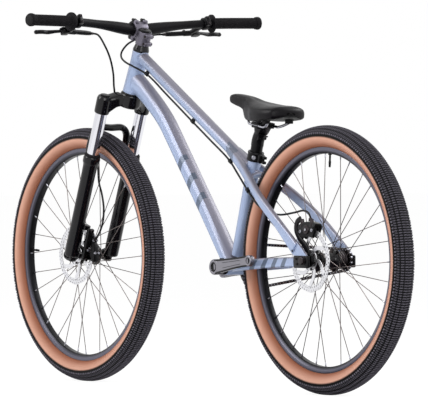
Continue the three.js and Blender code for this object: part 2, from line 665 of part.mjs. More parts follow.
add("crank_left", crankLeft(), silverAlloy);
add("crank_right", crankRight(), silverAlloy);
add("chainring", chainringSolid(), blackSatin);
add("rear_cog", rearCogSolid(), steel);
add("bottom_bracket", bottomBracketSolid(), blackSatin);
const shellMade = sleeve(shellFrom, shellTo, bottomBracket.shellRadius, bottomBracket.bore, 24);
add("bottom_bracket_shell", shellMade, framePaint);

// Frame tubes
function headTubeSolid(grow = 0) {
  const h = head;
  const bore = grow > 0 ? 0 : h.bore;
  const extra = grow > 0 ? h.collar : 0;
  const capRadius = grow > 0 ? upperCup.radius + grow * 2 : h.topRadius;
  const profile = [
    [bore, h.bottom - extra], [h.bottomRadius + grow, h.bottom - extra],
    [h.bottomRadius + grow, h.bottom + h.collar], [h.topRadius + grow, h.top - h.collar * 2],
    [h.topRadius + grow, h.top], [capRadius, h.top], [capRadius, h.top + extra], [bore, h.top + extra],
  ];
  const plain = profile.filter(([r, z], k) => k === 0 || r !== profile[k - 1][0] || z !== profile[k - 1][1]);
  return turned(plain, steerFrame, 16);
}
const headClear = headTubeSolid(gap);
add("head_tube", headTubeSolid(), framePaint);

// The top tube's axis meets the head tube near its top and runs down to the seat tube.
const topTubeStart = steerPoint(head.top - topTube.belowTop);
const topTubeWay = V(-Math.cos(topTube.slope), 0, -Math.sin(topTube.slope));
const seatLean = Math.cos(seatAngle) / Math.sin(seatAngle);
function meetSeatAxis(start, way) {
  const rise = way.z / way.x;
  const x = (crankCentre.x / seatLean + crankCentre.z - start.z + rise * start.x) / (rise + 1 / seatLean);
  return V(x, 0, start.z + rise * (x - start.x));
}
const topTubeEnd = meetSeatAxis(topTubeStart, topTubeWay);

// Heights up the seat tube's axis, from the crank's centre
seatTube.top = topTubeEnd.distanceTo(crankCentre) + seatTube.overTopTube;
collar.bottom = seatTube.top + collar.proud - collar.height;
seatpost.bottom = seatTube.top - seatpost.insertion;
seatpost.top = seatTube.top + seatpost.extension;
seatpost.yokeHeight = seatpost.top + seatpost.yokeOver;
const seatAxisFrom = seatPoint(0);
const seatAxisTo = seatPoint(seatTube.top);
const seatTubeClear = drill(seatAxisFrom, seatAxisTo, seatTube.radius + gap, 16);

function topTubeSolid(grow = 0) {
  const outer = barrel(topTubeStart, topTubeEnd, topTube.radius + grow, 14);
  if (grow > 0) return outer;
  const hollow = drill(topTubeStart, topTubeEnd, topTube.radius - tubeWall, 10);
  return cut(outer, hollow, headClear, seatTubeClear);
}
const topTubeClear = topTubeSolid(gap);

function downTubeCurve() {
  const top = steerPoint(head.bottom + downTube.headHeight);
  const back = V(-Math.cos(downTube.headAngle), 0, -Math.sin(downTube.headAngle));
  const elbow = top.clone().addScaledVector(back, downTube.elbowReach);
  const foot = crankCentre.clone().addScaledVector(X, downTube.aimAhead);
  const down = foot.clone().sub(elbow).normalize();
  const bendEnd = elbow.clone().addScaledVector(down, downTube.elbowRun);
  const path = new THREE.CurvePath();
  path.add(new THREE.QuadraticBezierCurve3(top, elbow, bendEnd));
  path.add(new THREE.LineCurve3(bendEnd, foot));
  return path;
}

function downTubeSolid() {
  const d = downTube;
  const curve = downTubeCurve();
  const along = (atHead, atFoot, share) => {
    const upper = mix(atHead, d.radius, ease(share * 3));
    return mix(upper, atFoot, ease(share * 3 - 2));
  };
  const wide = (share) => along(d.headHalfWidth, d.footHalfWidth, share);
  const tall = (share) => along(d.headHalfHeight, d.footHalfHeight, share);
  const outer = swept(curve, 9, wide, tall, 12, 0.9);
  const inner = swept(curve, 9, (s) => wide(s) - tubeWall, (s) => tall(s) - tubeWall, 8, 0.9);
  return cut(outer, inner, headClear, topTubeClear, shellClear);
}
const downTubeMade = downTubeSolid();

function seatTubeSolid() {
  const base = cut(
    barrel(seatAxisFrom, seatAxisTo, seatTube.radius, 16),
    drill(seatPoint(bottomBracket.shellRadius * 2), seatAxisTo, seatpost.radius + gap, 16), shellClear,
  );
  const slit = block(V(-seatTube.radius, 0, seatTube.top - collar.height / 2),
    V(seatTube.radius / 2, collar.slit, collar.height), seatFrame());
  return cut(base, slit);
}

// The seat frame: Z up the seat tube's axis, X ahead of it.
function seatFrame() {
  const across = V(seatUp.z, 0, -seatUp.x);
  return new THREE.Matrix4().makeBasis(across, Y, seatUp).setPosition(crankCentre);
}

function mirrored(made) {
  return made.mirror([0, 1, 0]);
}

function seatstayCurve() {
  const s = seatstay;
  const along = (ahead) => topTubeEnd.clone().addScaledVector(topTubeWay, -ahead);
  const fromAxle = (ahead, up, left) => V(rearCentre.x + ahead, left, rearCentre.z + up);
  return new THREE.CatmullRomCurve3([
    along(s.startAhead).setY(s.startOffset),
    along(s.kneeAhead).setY(s.kneeOffset),
    along(-s.hipBehind).setY(s.hipOffset),
    fromAxle(s.middleAhead, s.middleHeight, s.middleOffset),
    fromAxle(s.lowAhead, s.lowHeight, s.lowOffset),
    fromAxle(s.endAhead, s.endHeight, s.endOffset),
  ], false, "centripetal");
}

// The flat plate at the stay's end, over the dropout, with a small round hole.
function stayPlate() {
  const d = dropout;
  const shape = new THREE.Shape();
  const base = d.above + gap;
  shape.moveTo(-d.behind / 3, base);
  shape.lineTo(d.ahead + d.plateThickness, base);
  shape.lineTo(d.plateAhead, base + d.plateThickness * 2);
  shape.lineTo(d.plateAhead, d.plateHeight);
  shape.lineTo(d.ahead, d.plateHeight);
  shape.closePath();
  const geometry = new THREE.ExtrudeGeometry(shape, { depth: d.plateThickness, bevelEnabled: false });
  geometry.rotateX(Math.PI / 2);
  geometry.translate(rearCentre.x, d.innerFace + d.plateThickness, rearCentre.z);
  const from = V(rearCentre.x + d.holeAhead, d.innerFace, rearCentre.z + d.holeHeight);
  const to = from.clone().addScaledVector(Y, d.plateThickness);
  return cut(solid(geometry), drill(from, to, d.holeRadius, 12));
}

function seatstaySolid() {
  const s = seatstay;
  const taper = (share) => mix(1, s.endShare, ease(share * 2 - 1));
  const tube = swept(seatstayCurve(), 12, (share) => s.halfWidth * taper(share), () => s.halfHeight, 10, 0.7);
  const inside = drill(rearCentre, rearCentre.clone().setY(dropout.innerFace - gap), dropout.plateHeight, 24);
  const made = cut(tube, topTubeClear, seatTubeClear, inside, dropoutClear());
  const kept = made.decompose().sort((a, b) => b.volume() - a.volume())[0];
  return joined(kept, stayPlate());
}

function dropoutBlock(grow = 0) {
  const d = dropout;
  const ahead = rearCentre.x + (d.ahead - d.behind) / 2;
  const middle = V(ahead, d.innerFace + d.thickness / 2, rearCentre.z + (d.above - d.below) / 2);
  const halves = V((d.ahead + d.behind) / 2 + grow, d.thickness / 2 + grow, (d.above + d.below) / 2 + grow);
  return block(middle, halves);
}
function dropoutClear() {
  return dropoutBlock(gap);
}

function dropoutSolid() {
  const d = dropout;
  const from = rearCentre.clone().setY(d.innerFace);
  const to = rearCentre.clone().setY(d.innerFace + d.thickness);
  const hole = rearHub.axleRadius + gap;
  const slotMiddle = V(rearCentre.x - d.behind, d.innerFace + d.thickness / 2, rearCentre.z);
  const slot = block(slotMiddle, V(d.behind, d.thickness, hole));
  return cut(dropoutBlock(), drill(from, to, hole, 16), slot);
}

function chainstayCurve() {
  const c = chainstay;
  const at = (ahead, left, drop) => V(rearCentre.x + ahead, left, rearCentre.z - drop);
  return new THREE.CatmullRomCurve3([
    at(chainstayRun - c.startBehind, c.startOffset, c.startDrop),
    at(chainstayRun - c.bendBehind, c.bendOffset, c.bendDrop),
    at(chainstayRun - c.middleBehind, c.middleOffset, c.middleDrop),
    at(dropout.ahead + gap, c.endOffset, c.endDrop),
  ], false, "centripetal");
}

function chainstaySolid() {
  const c = chainstay;
  const curve = chainstayCurve();
  const outer = swept(curve, 12, () => c.halfWidth, () => c.halfHeight, 10, 0.6);
  return cut(outer, shellClear, dropoutClear(), plateClear());
}
function plateClear() {
  const d = dropout;
  const from = rearCentre.clone().setY(d.innerFace - gap);
  const high = d.above + d.plateThickness;
  const middleUp = from.z + high + d.plateHeight / 2;
  const middle = V(from.x + d.plateAhead / 2, d.innerFace + d.plateThickness / 2, middleUp);
  return block(middle,
    V(d.plateAhead / 2 + overrun, d.plateThickness, d.plateHeight / 2 + d.plateThickness - gap));
}

const seatstayMade = seatstaySolid();
const chainstayMade = cut(chainstaySolid(), seatstayMade);
const downAndStays = cut(downTubeMade, seatTubeClear);
add("down_tube", downAndStays, framePaint);
add("top_tube", topTubeSolid(), framePaint);
add("seat_tube", seatTubeSolid(), framePaint);
add("seatstay_left", seatstayMade, framePaint);
add("seatstay_right", mirrored(seatstayMade), framePaint);
add("chainstay_left", chainstayMade, framePaint);
add("chainstay_right", mirrored(chainstayMade), framePaint);
add("dropout_left", dropoutSolid(), blackSatin);
add("dropout_right", mirrored(dropoutSolid()), blackSatin);

// Seat collar, round the top of the seat tube, with its bolt lugs to the rear
function seatCollarSolid() {
  const c = collar;
  const low = seatPoint(c.bottom);
  const high = seatPoint(c.bottom + c.height);
  const band = barrel(low, high, c.radius, 20);
  const middle = c.bottom + c.height / 2;
  const lugHalves = V(c.lugReach / 2, c.lugHalf, c.height / 2);
  const lugs = block(V(-c.lugReach / 2, 0, middle), lugHalves, seatFrame());
  const slitHalves = V(c.lugReach / 2, c.slit / 2, c.height);
  const slit = block(V(-c.lugReach / 2 - c.radius / 2, 0, middle), slitHalves, seatFrame());
  return cut(joined(band, lugs), drill(low, high, seatTube.radius + gap, 16), slit);
}
add("seat_collar", seatCollarSolid(), blackSatin);

// Seatpost with a round yoke across its head, which the saddle clamp tilts on
const yokeCentre = seatPoint(seatpost.yokeHeight, -seatpost.yokeBehind);
function seatpostSolid() {
  const p = seatpost;
  const tube = cut(
    barrel(seatPoint(p.bottom), seatPoint(p.top), p.radius, 16),
    drill(seatPoint(p.bottom), seatPoint(p.top - p.yokeHalf * 2), p.radius - p.wall, 16),
  );
  const yokeEnd = (left) => yokeCentre.clone().setY(left);
  const yoke = barrel(yokeEnd(-p.yokeHalf), yokeEnd(p.yokeHalf), p.yokeRadius, 16);
  const neck = barrel(seatPoint(p.top - p.yokeHalf), yokeCentre, p.yokeRadius, 12, p.yokeRadius - p.wall);
  return joined(tube, yoke, neck);
}
add("seatpost", seatpostSolid(), blackSatin);

// Saddle. Its sections are arches from rim to rim, and its nose points forward.
// Each row holds shares: the way along, the top's height, the rim's height and the half width.
const saddleShares = [
  [0.0, 0.86, 0.7, 0.1], [0.03, 0.96, 0.62, 0.2], [0.08, 1.0, 0.5, 0.27], [0.16, 1.0, 0.46, 0.31],
  [0.32, 0.89, 0.36, 0.4], [0.48, 0.74, 0.2, 0.62], [0.62, 0.64, 0.03, 0.9], [0.76, 0.57, 0.0, 1.0],
  [0.88, 0.54, 0.06, 0.98], [0.96, 0.5, 0.16, 0.85], [1.0, 0.42, 0.28, 0.66],
];
const saddleBase = V(clampPlace().x + saddle.noseAhead, 0, clampPlace().z + saddle.lift);
function clampPlace() {
  return V(yokeCentre.x - saddleClamp.behind, 0, yokeCentre.z + saddleClamp.railRise);
}

function saddleDome(inset, foot, points = 7) {
  const s = saddle;
  const narrower = 1 - inset / s.halfWidth;
  const lower = 1 - inset / (s.height / 2);
  const shorter = 1 - inset / (s.length / 2);
  const rings = saddleShares.map(([along, top, low, wide]) => {
    const x = saddleBase.x - s.length / 2 + (0.5 - along) * s.length * shorter;
    const rimZ = saddleBase.z + s.height * low;
    const rises = s.height * (top - low) * lower;
    const half = s.halfWidth * wide * narrower;
    const ring = [];
    for (let i = 0; i <= points; i += 1) {
      const turn = (i / points) * Math.PI;
      const rise = Math.sin(turn) ** s.edgeShare;
      const spread = Math.sign(Math.cos(turn)) * Math.abs(Math.cos(turn)) ** s.sideShare;
      const drawn = 1 - s.drawnShare * (1 - rise);
      ring.push(V(x, spread * half * drawn, rimZ + rises * rise));
    }
    ring.push(V(x, -half / 2, rimZ - foot), V(x, half / 2, rimZ - foot));
    return ring;
  });
  return loft(rings);
}

function saddleCoverSolid() {
  return cut(saddleDome(0, gap), saddleDome(saddle.cover, saddle.height));
}
add("saddle_cover", saddleCoverSolid(), coverLeather);

function railCurve(side) {
  const s = saddle;
  const c = clampPlace();
  const way = V(Math.cos(s.pitch), 0, Math.sin(s.pitch));
  const at = (along, out, up) => c.clone().addScaledVector(way, along).add(V(0, out * side, up));
  return [
    at(-s.railRear, s.railRearOffset, s.railRearRise),
    at(-s.railFlat - s.railBend, s.railOffset + s.railBend / 4, s.railBend / 3),
    at(-s.railFlat, s.railOffset, 0), at(-s.railFlat * s.railHoldShare, s.railOffset, 0),
    at(s.railFlat * s.railHoldShare, s.railOffset, 0), at(s.railFlat, s.railOffset, 0),
    at(s.railFlat + s.railBend, s.railOffset - s.railBend / 8, s.railBend / 3),
    at(s.railFront, s.railFrontOffset, s.railFrontRise),
  ];
}

function tubeAlong(points, radius, sides, steps, tension = 0.5) {
  const shape = new THREE.Shape();
  for (let i = 0; i < sides; i += 1) {
    const turn = (i / sides) * Math.PI * 2;
    if (i === 0) shape.moveTo(radius, 0);
    else shape.lineTo(Math.cos(turn) * radius, Math.sin(turn) * radius);
  }
  shape.closePath();
  const curve = new THREE.CatmullRomCurve3(points, false, "centripetal", tension);
  return solid(new THREE.ExtrudeGeometry(shape, { extrudePath: curve, steps, bevelEnabled: false }));
}

function railNose() {
  return clampPlace().add(V(saddle.railFront + saddle.railFrontOffset, 0, saddle.railNoseRise));
}

function saddleRailsSolid(grow = 0) {
  const points = [...railCurve(1), railNose(), ...railCurve(-1).reverse()];
  return tubeAlong(points, saddle.railRadius + grow, 6, 38);
}
add("saddle_rails", saddleRailsSolid(), steel);

// The shell under the cover, with a socket at its nose and two at its rear that hold the rails
function saddleShellSolid() {
  const s = saddle;
  const skin = s.cover + s.room;
  const bowl = cut(saddleDome(skin, gap), saddleDome(skin + s.shell, s.height));
  const places = [
    railNose(), railCurve(1)[0].add(V(s.socketHalf, 0, 0)), railCurve(-1)[0].add(V(s.socketHalf, 0, 0)),
  ];
  const posts = places.map((place) => block(
    place.clone().add(V(0, 0, s.height / 2 - s.socketHalf)), V(s.socketHalf, s.socketHalf, s.height / 2),
  ));
  const sockets = joined(...posts).intersect(saddleDome(skin, s.height));
  return cut(joined(bowl, sockets), saddleRailsSolid(gap));
}
add("saddle_shell", saddleShellSolid(), blackSatin);

function saddleClampSolid() {
  const c = saddleClamp;
  const s = saddle;
  const centre = clampPlace();
  const way = V(Math.cos(s.pitch), 0, Math.sin(s.pitch));
  const over = V(-way.z, 0, way.x);
  const matrix = new THREE.Matrix4().makeBasis(way, Y, over).setPosition(centre);
  const topHalves = V(c.halfLength, c.halfWidth, (c.above + c.below) / 2);
  const top = block(V(0, 0, (c.above - c.below) / 2), topHalves, matrix);
  const cheek = block(V(0, 0, -c.railRise / 2), V(c.halfLength, seatpost.yokeHalf, c.railRise / 2), matrix);
  const atYoke = (left) => yokeCentre.clone().setY(left);
  const bore = drill(atYoke(-c.halfWidth), atYoke(c.halfWidth), seatpost.yokeRadius + gap, 16);
  const floor = yokeCentre.z + seatpost.yokeRadius / 2;
  const under = block(V(centre.x, 0, floor - c.halfWidth), V(c.halfWidth * 2, c.halfWidth * 2, c.halfWidth));
  const rails = [1, -1].map((side) => {
    const rail = centre.clone().setY(side * s.railOffset);
    const end = way.clone().multiplyScalar(c.halfLength);
    return drill(rail.clone().sub(end), rail.clone().add(end), s.railRadius + gap * 2, 10);
  });
  return cut(joined(top, cheek), bore, under, ...rails);
}
add("saddle_clamp", saddleClampSolid(), blackSatin);

// The front end is set out in its own frame: X ahead of the steering axis and Z up along it.
const steering = new THREE.Group();
steering.position.copy(steerOrigin);
steering.rotation.y = headAngle - Math.PI / 2;
bicycle.add(steering);
const axisPoint = (up, ahead = 0, left = 0) => V(ahead, left, up);
const still = new THREE.Matrix4();

add("headset_lower", turned([
  [steerer.radius + gap, lowerCup.bottom], [lowerCup.radius, lowerCup.bottom],
  [lowerCup.radius, head.bottom - gap], [head.bore - gap, head.bottom - gap],
  [head.bore - gap, head.bottom + lowerCup.skirt], [steerer.radius + gap, head.bottom + lowerCup.skirt],
], still, 16), blackSatin, steering);
add("headset_upper", turned([
  [steerer.radius + gap, upperCup.top], [upperCup.spacerRadius, upperCup.top],
  [upperCup.radius, upperCup.shoulder], [upperCup.radius, head.top + gap], [head.bore - gap, head.top + gap],
  [head.bore - gap, head.top - upperCup.skirt], [steerer.radius + gap, head.top - upperCup.skirt],
], still, 16), blackSatin, steering);
const steererEnds = [axisPoint(steerer.bottom), axisPoint(steerer.top)];
add("steerer", sleeve(...steererEnds, steerer.radius, steerer.bore, 16), blackSatin, steering);
add("top_cap", joined(
  barrel(axisPoint(stem.top + gap), axisPoint(stem.top + gap + topCap.height), topCap.radius, 20,
    topCap.radius - gap * 4),
  barrel(axisPoint(stem.top - topCap.studLength), axisPoint(stem.top + topCap.height), topCap.studRadius, 8),
), blackSatin, steering);

function bothSides(make) {
  return joined(make(1), make(-1));
}

function crownSolid() {
  const c = crown;
  const hub = barrel(axisPoint(c.hubBottom), axisPoint(c.hubTop), c.hubRadius, 20);
  const inLug = (up, side) => axisPoint(up, leg.ahead, side * leg.offset);
  const lugs = bothSides((side) => barrel(inLug(c.lugBottom, side), inLug(c.lugTop, side), c.lugRadius, 12));
  const arms = bothSides((side) => {
    const root = axisPoint((c.hubBottom + c.hubTop) / 2, c.rootAhead, side * c.hubRadius / 2);
    const rise = (c.lugBottom + c.hubTop) / 2 + c.archRise;
    const middle = axisPoint(rise, leg.ahead / 2 + c.rootAhead, side * leg.offset / 2);
    const end = axisPoint((c.lugBottom + c.lugTop) / 2, leg.ahead, side * leg.offset);
    const rings = [
      ringAt(root, X, Z, c.hubRadius * c.rootShare, (c.hubTop - c.hubBottom) / 2 - gap, 8, 0.6),
      ringAt(middle, X, Z, c.armDepth + gap * 4, c.armHeight / 2 + gap * 4, 8, 0.6),
      ringAt(end, X, Z, c.lugRadius * c.endShare, (c.lugTop - c.lugBottom) / 2 - gap * 2, 8, 0.6),
    ];
    return loft(rings);
  });
  const bore = stanchion.radius + gap;
  const bores = bothSides((side) => drill(inLug(c.lugBottom, side), inLug(c.lugTop, side), bore, 12));
  const steererBore = drill(axisPoint(c.hubBottom), axisPoint(c.hubTop), steerer.radius + gap, 16);
  return cut(joined(hub, lugs, arms), bores, steererBore);
}
add("fork_crown", crownSolid(), blackGloss, steering);

for (const [name, side] of [["stanchion_left", 1], ["stanchion_right", -1]]) {
  const s = stanchion;
  const place = new THREE.Matrix4().makeTranslation(leg.ahead, side * leg.offset, 0);
  const inner = s.radius - s.wall;
  add(name, turned([
    [0, s.top - s.wall * 3], [inner, s.top - s.wall * 3], [inner, s.bottom],
    [s.radius, s.bottom], [s.radius, s.top], [s.capRadius, s.capTop], [0, s.capTop],
  ], place, 12), chrome, steering);
}

function legProfile(grow) {
  const l = leg;
  return [
    [0, l.bottom - grow], [l.radius * l.footShare + grow, l.bottom - grow],
    [l.radius + grow, l.bottom + l.radius * l.bevelShare], [l.radius + grow, l.top],
    [l.collarRadius + grow, l.top + l.radius * l.bevelShare],
    [l.collarRadius + grow, l.sealTop - l.radius * l.lipShare],
    [l.sealRadius + grow, l.sealTop + grow], [0, l.sealTop + grow],
  ];
}

function legSolid(side, grow = 0) {
  const place = new THREE.Matrix4().makeTranslation(leg.ahead, side * leg.offset, 0);
  return turned(legProfile(grow), place, 12);
}

const wheelInSteer = axisPoint(0, axleAhead);

function archSolid() {
  const a = arch;
  const at = (ahead, left, up) => V(ahead, left, up);
  const points = [];
  const half = [
    [a.footAhead, a.footOffset, a.topHeight - a.footDrop], [a.ahead, a.sideOffset, a.topHeight - a.sideDrop],
    [a.ahead, a.shoulderOffset, a.topHeight - a.shoulderDrop], [a.ahead, a.bendOffset, a.topHeight - gap * 2],
  ];
  for (const [ahead, left, up] of half) points.push(at(ahead, left, up));
  points.push(at(a.ahead, 0, a.topHeight));
  for (const [ahead, left, up] of half.reverse()) points.push(at(ahead, -left, up));
  const curve = new THREE.CatmullRomCurve3(points, false, "centripetal");
  const steps = 10;
  const rings = [];
  for (let k = 0; k <= steps; k += 1) {
    const share = k / steps;
    const tangent = curve.getTangentAt(share);
    const outward = tangent.clone().cross(X).normalize();
    const centre = curve.getPointAt(share);
    rings.push(ringAt(centre, X, outward, a.halfDepth * Math.SQRT2, a.halfThickness, 6, 0.7));
  }
  return loft(rings);
}

function postMountSolid(grow = 0) {
  const p = postMount;
  const middle = (p.tabInner + p.tabOuter) / 2;
  const half = (p.tabOuter - p.tabInner) / 2 + grow;
  const tabs = [p.tabLow, p.tabHigh].map((up) => block(
    V((leg.ahead + p.plateAhead + p.plateThickness) / 2, middle, up),
    V((leg.ahead - p.plateAhead - p.plateThickness) / 2 + grow, half, p.tabSize / 2 + grow),
  ));
  return joined(...tabs);
}

function lowersSolid() {
  const l = leg;
  const legs = bothSides((side) => legSolid(side));
  const onAxle = (left) => V(wheelInSteer.x, left, 0);
  const lugEnd = frontLug.outer + frontAxle.headLength / 2;
  const lug = (side) => barrel(onAxle(side * frontLug.inner), onAxle(side * lugEnd), frontLug.radius, 12);
  const lugs = bothSides(lug);
  const body = joined(legs, lugs, archSolid(), postMountSolid());
  const inLeg = (up, side) => axisPoint(up, l.ahead, side * l.offset);
  const bore = stanchion.radius + gap;
  const boreTop = l.sealTop + overrun;
  const bores = bothSides((side) => barrel(inLeg(lowersBore.bottom, side), inLeg(boreTop, side), bore, 12));
  const pocketEnd = frontLug.pocketFace - overrun;
  const pockets = drill(onAxle(-pocketEnd), onAxle(pocketEnd), frontLug.pocketRadius, 12);
  const legSide = l.offset + l.radius;
  const axleHole = drill(onAxle(-legSide), onAxle(legSide), frontHub.axleRadius + gap, 12);
  const headHole = frontAxle.headRadius + gap;
  const heads = bothSides((side) => {
    const start = onAxle(side * (lugEnd + overrun));
    return drill(start, onAxle(side * (legSide + l.radius)), headHole, 12);
  });
  return cut(body, bores, pockets, axleHole, heads);
}
const lowersMade = lowersSolid();
add("fork_lowers", lowersMade, blackGloss, steering);

function frontAxleSolid() {
  const a = frontAxle;
  const face = frontLug.outer + a.headLength / 2 + gap;
  const shaft = barrel(V(wheelInSteer.x, -face, 0), V(wheelInSteer.x, face, 0), frontHub.axleRadius, 12);
  const heads = bothSides((side) => barrel(
    V(wheelInSteer.x, side * face, 0), V(wheelInSteer.x, side * (face + a.headLength), 0), a.headRadius, 12,
  ));
  return joined(shaft, heads);
}
add("front_axle", frontAxleSolid(), blackSatin, steering);

function airPistonSolid() {
  const p = airPiston;
  const floor = lowersBore.bottom;
  return turned([
    [0, floor + gap], [p.footRadius, floor + gap], [p.footRadius, floor + p.footHeight],
    [p.rodRadius, floor + p.footHeight + p.rodRadius], [p.rodRadius, p.headBottom],
    [p.headRadius, p.headBottom + p.rodRadius], [p.headRadius, p.headTop], [0, p.headTop],
  ], new THREE.Matrix4().makeTranslation(leg.ahead, leg.offset, 0), 16);
}
add("fork_air_piston", airPistonSolid(), steel, steering);

// A caliper: an arc of metal about the wheel's axle, with a slot that the rotor runs in
const caliperInner = rotor.radius - caliper.innerDepth;
const caliperOuter = rotor.radius + caliper.outerRise;

function caliperSolid(centre, middleAngle, place, inboard) {
  const c = caliper;
  const shape = new THREE.Shape();
  const steps = 6;
  for (let i = 0; i <= steps; i += 1) {
    const angle = mix(middleAngle - c.halfAngle, middleAngle + c.halfAngle, i / steps);
    const x = centre.x + Math.cos(angle) * caliperOuter;
    const z = centre.z + Math.sin(angle) * caliperOuter;
    if (i === 0) shape.moveTo(x, z);
    else shape.lineTo(x, z);
  }
  for (let i = steps; i >= 0; i -= 1) {
    const lean = c.halfAngle * c.innerShare;
    const angle = mix(middleAngle - lean, middleAngle + lean, i / steps);
    shape.lineTo(centre.x + Math.cos(angle) * caliperInner, centre.z + Math.sin(angle) * caliperInner);
  }
  shape.closePath();
  const geometry = new THREE.ExtrudeGeometry(shape, { depth: inboard + c.outboard, bevelEnabled: false });
  geometry.rotateX(Math.PI / 2);
  geometry.translate(0, place + c.outboard, 0);
  const atRotor = (left) => V(centre.x, place + left, centre.z);
  const slot = barrel(atRotor(-c.slot / 2), atRotor(c.slot / 2), rotor.radius + c.slotRoom, 40);
  return cut(solid(geometry), slot);
}

function frontCaliperSolid() {
  const made = caliperSolid(wheelInSteer, caliper.frontAngle, frontHub.rotorPlace, caliper.frontInboard);
  const p = postMount;
  const plate = block(
    V(p.plateAhead + p.plateThickness / 2 - gap, (p.tabInner + p.tabOuter) / 2, (p.tabLow + p.tabHigh) / 2),
    V(p.plateThickness / 2, (p.tabOuter - p.tabInner) / 2, (p.tabHigh - p.tabLow) / 2 + p.tabSize / 2),
  );
  return cut(joined(made, plate), legSolid(1, gap), postMountSolid(gap));
}
add("front_caliper", frontCaliperSolid(), blackSatin, steering);

function bracketArm(grow = 0) {
  const b = rearBracket;
  const y = (b.inner + b.outer) / 2;
  const place = ([ahead, up]) => V(rearCentre.x + ahead * rotor.radius, y, rearCentre.z + up * rotor.radius);
  const points = b.armShares.map(place);
  const curve = new THREE.CatmullRomCurve3(points, false, "centripetal");
  const rings = [];
  const steps = 8;
  for (let k = 0; k <= steps; k += 1) {
    const tangent = curve.getTangentAt(k / steps);
    const across = tangent.clone().cross(Y).normalize();
    const halfThickness = ((b.outer - b.inner) / 2) * Math.SQRT2 + grow;
    const centre = curve.getPointAt(k / steps);
    rings.push(ringAt(centre, Y, across, halfThickness, b.armHalf * Math.SQRT2 + grow, 4));
  }
  return loft(rings);
}

function rearBracketSolid() {
  const b = rearBracket;
  const low = rearCentre.clone().setY(b.inner);
  const high = rearCentre.clone().setY(b.outer);
  return cut(joined(barrel(low, high, b.ringRadius, 20), bracketArm()), drill(low, high, b.ringBore, 20));
}
add("rear_caliper_bracket", rearBracketSolid(), blackSatin);
const rearCaliperMade = caliperSolid(rearCentre, caliper.rearAngle, rearHub.rotorPlace, caliper.rearInboard);
add("rear_caliper", cut(rearCaliperMade, bracketArm(gap)), blackSatin);

function rearAxleSolid() {
  const h = rearHub;
  const n = axleNut;
  const face = dropout.innerFace + dropout.thickness + gap;
  const washer = face + n.washerThickness;
  const end = washer + n.thickness;
  return turned([
    [0, -end], [n.radius, -end], [n.radius, -washer], [n.washerRadius, -washer], [n.washerRadius, -face],
    [h.axleRadius, -face], [h.axleRadius, face], [n.washerRadius, face], [n.washerRadius, washer],
    [n.radius, washer], [n.radius, end], [0, end],
  ], facing(rearCentre, Y), 16);
}
add("rear_axle", rearAxleSolid(), blackSatin);

// Cockpit. Everything here is set out from the handlebar's middle in the stem.
const barCentre = axisPoint(stem.barHeight, stem.reach);

function stemEnvelope() {
  const s = stem;
  const steererClamp = barrel(axisPoint(s.bottom), axisPoint(s.top), s.clampRadius, 20);
  const clampEnd = (left) => barCentre.clone().setY(left);
  const barClamp = barrel(clampEnd(-s.halfWidth), clampEnd(s.halfWidth), s.clampOuter, 20);
  return [steererClamp, barClamp];
}

function stemBarBore() {
  const at = (left) => barCentre.clone().setY(left);
  return drill(at(-stem.halfWidth), at(stem.halfWidth), bar.clampRadius + gap, 20);
}

function stemSolid() {
  const s = stem;
  const middle = (s.bottom + s.top) / 2;
  const neck = block(V(s.reach / 2, 0, middle), V(s.reach / 2, s.neckHalfWidth, s.neckHalfHeight));
  const earHalves = V(s.earDepth / 2, s.halfWidth, s.earHeight);
  const ears = block(V(s.reach - s.earDepth / 2, 0, s.barHeight), earHalves);
  const rearHalves = V(s.earThickness, s.earDepth, s.height / 2);
  const rear = block(V(-s.clampRadius - s.earThickness / 2, 0, middle), rearHalves);
  const body = joined(...stemEnvelope(), neck, ears, rear);
  const reach = s.clampOuter * 2;
  const front = block(V(s.reach + reach, 0, s.barHeight), V(reach, s.halfWidth * 2, reach));
  const slit = block(V(-s.clampRadius, 0, middle), V(s.clampRadius, s.slit / 2, s.height));
  const barBore = stemBarBore();
  const steererBore = drill(axisPoint(s.bottom), axisPoint(s.top), steerer.radius + gap, 16);
  const capRoom = barrel(axisPoint(s.top), axisPoint(s.top + s.clampOuter), topCap.radius + gap * 2, 16);
  return cut(body, front, slit, barBore, steererBore, capRoom);
}
add("stem", stemSolid(), greyAlloy, steering);

function faceplateSolid() {
  const s = stem;
  const clamp = stemEnvelope()[1];
  const earHalves = V(s.earDepth / 2, s.halfWidth, s.earHeight);
  const ears = block(V(s.reach + s.earDepth / 2, 0, s.barHeight), earHalves);
  const backMiddle = V(s.reach - s.clampOuter + gap * 2, 0, s.barHeight);
  const back = block(backMiddle, V(s.clampOuter, s.halfWidth * 2, s.clampOuter * 2));
  return cut(joined(clamp, ears), back, stemBarBore());
}
add("stem_faceplate", faceplateSolid(), blackSatin, steering);

function barPoints() {
  const b = bar;
  const at = (left, ahead, up) => barCentre.clone().add(V(ahead, left, up));
  const half = [
    [b.half, b.endAhead, b.endUp], [b.gripStart, b.gripAhead, b.gripUp],
    [b.kneeOffset, b.kneeAhead, b.kneeUp], [b.clampHalf, 0, b.clampRise],
  ];
  const left = half.map(([y, x, z]) => at(y, x, z));
  const right = half.map(([y, x, z]) => at(-y, x, z)).reverse();
  return [...left, at(b.flatHalf, 0, 0), at(-b.flatHalf, 0, 0), ...right];
}
const barCurve = new THREE.CatmullRomCurve3(barPoints(), false, "centripetal");

function barRadiusAt(point) {
  const out = Math.abs(point.y);
  return mix(bar.clampRadius, bar.endRadius, ease((out - bar.clampHalf) / (bar.taperEnd - bar.clampHalf)));
}

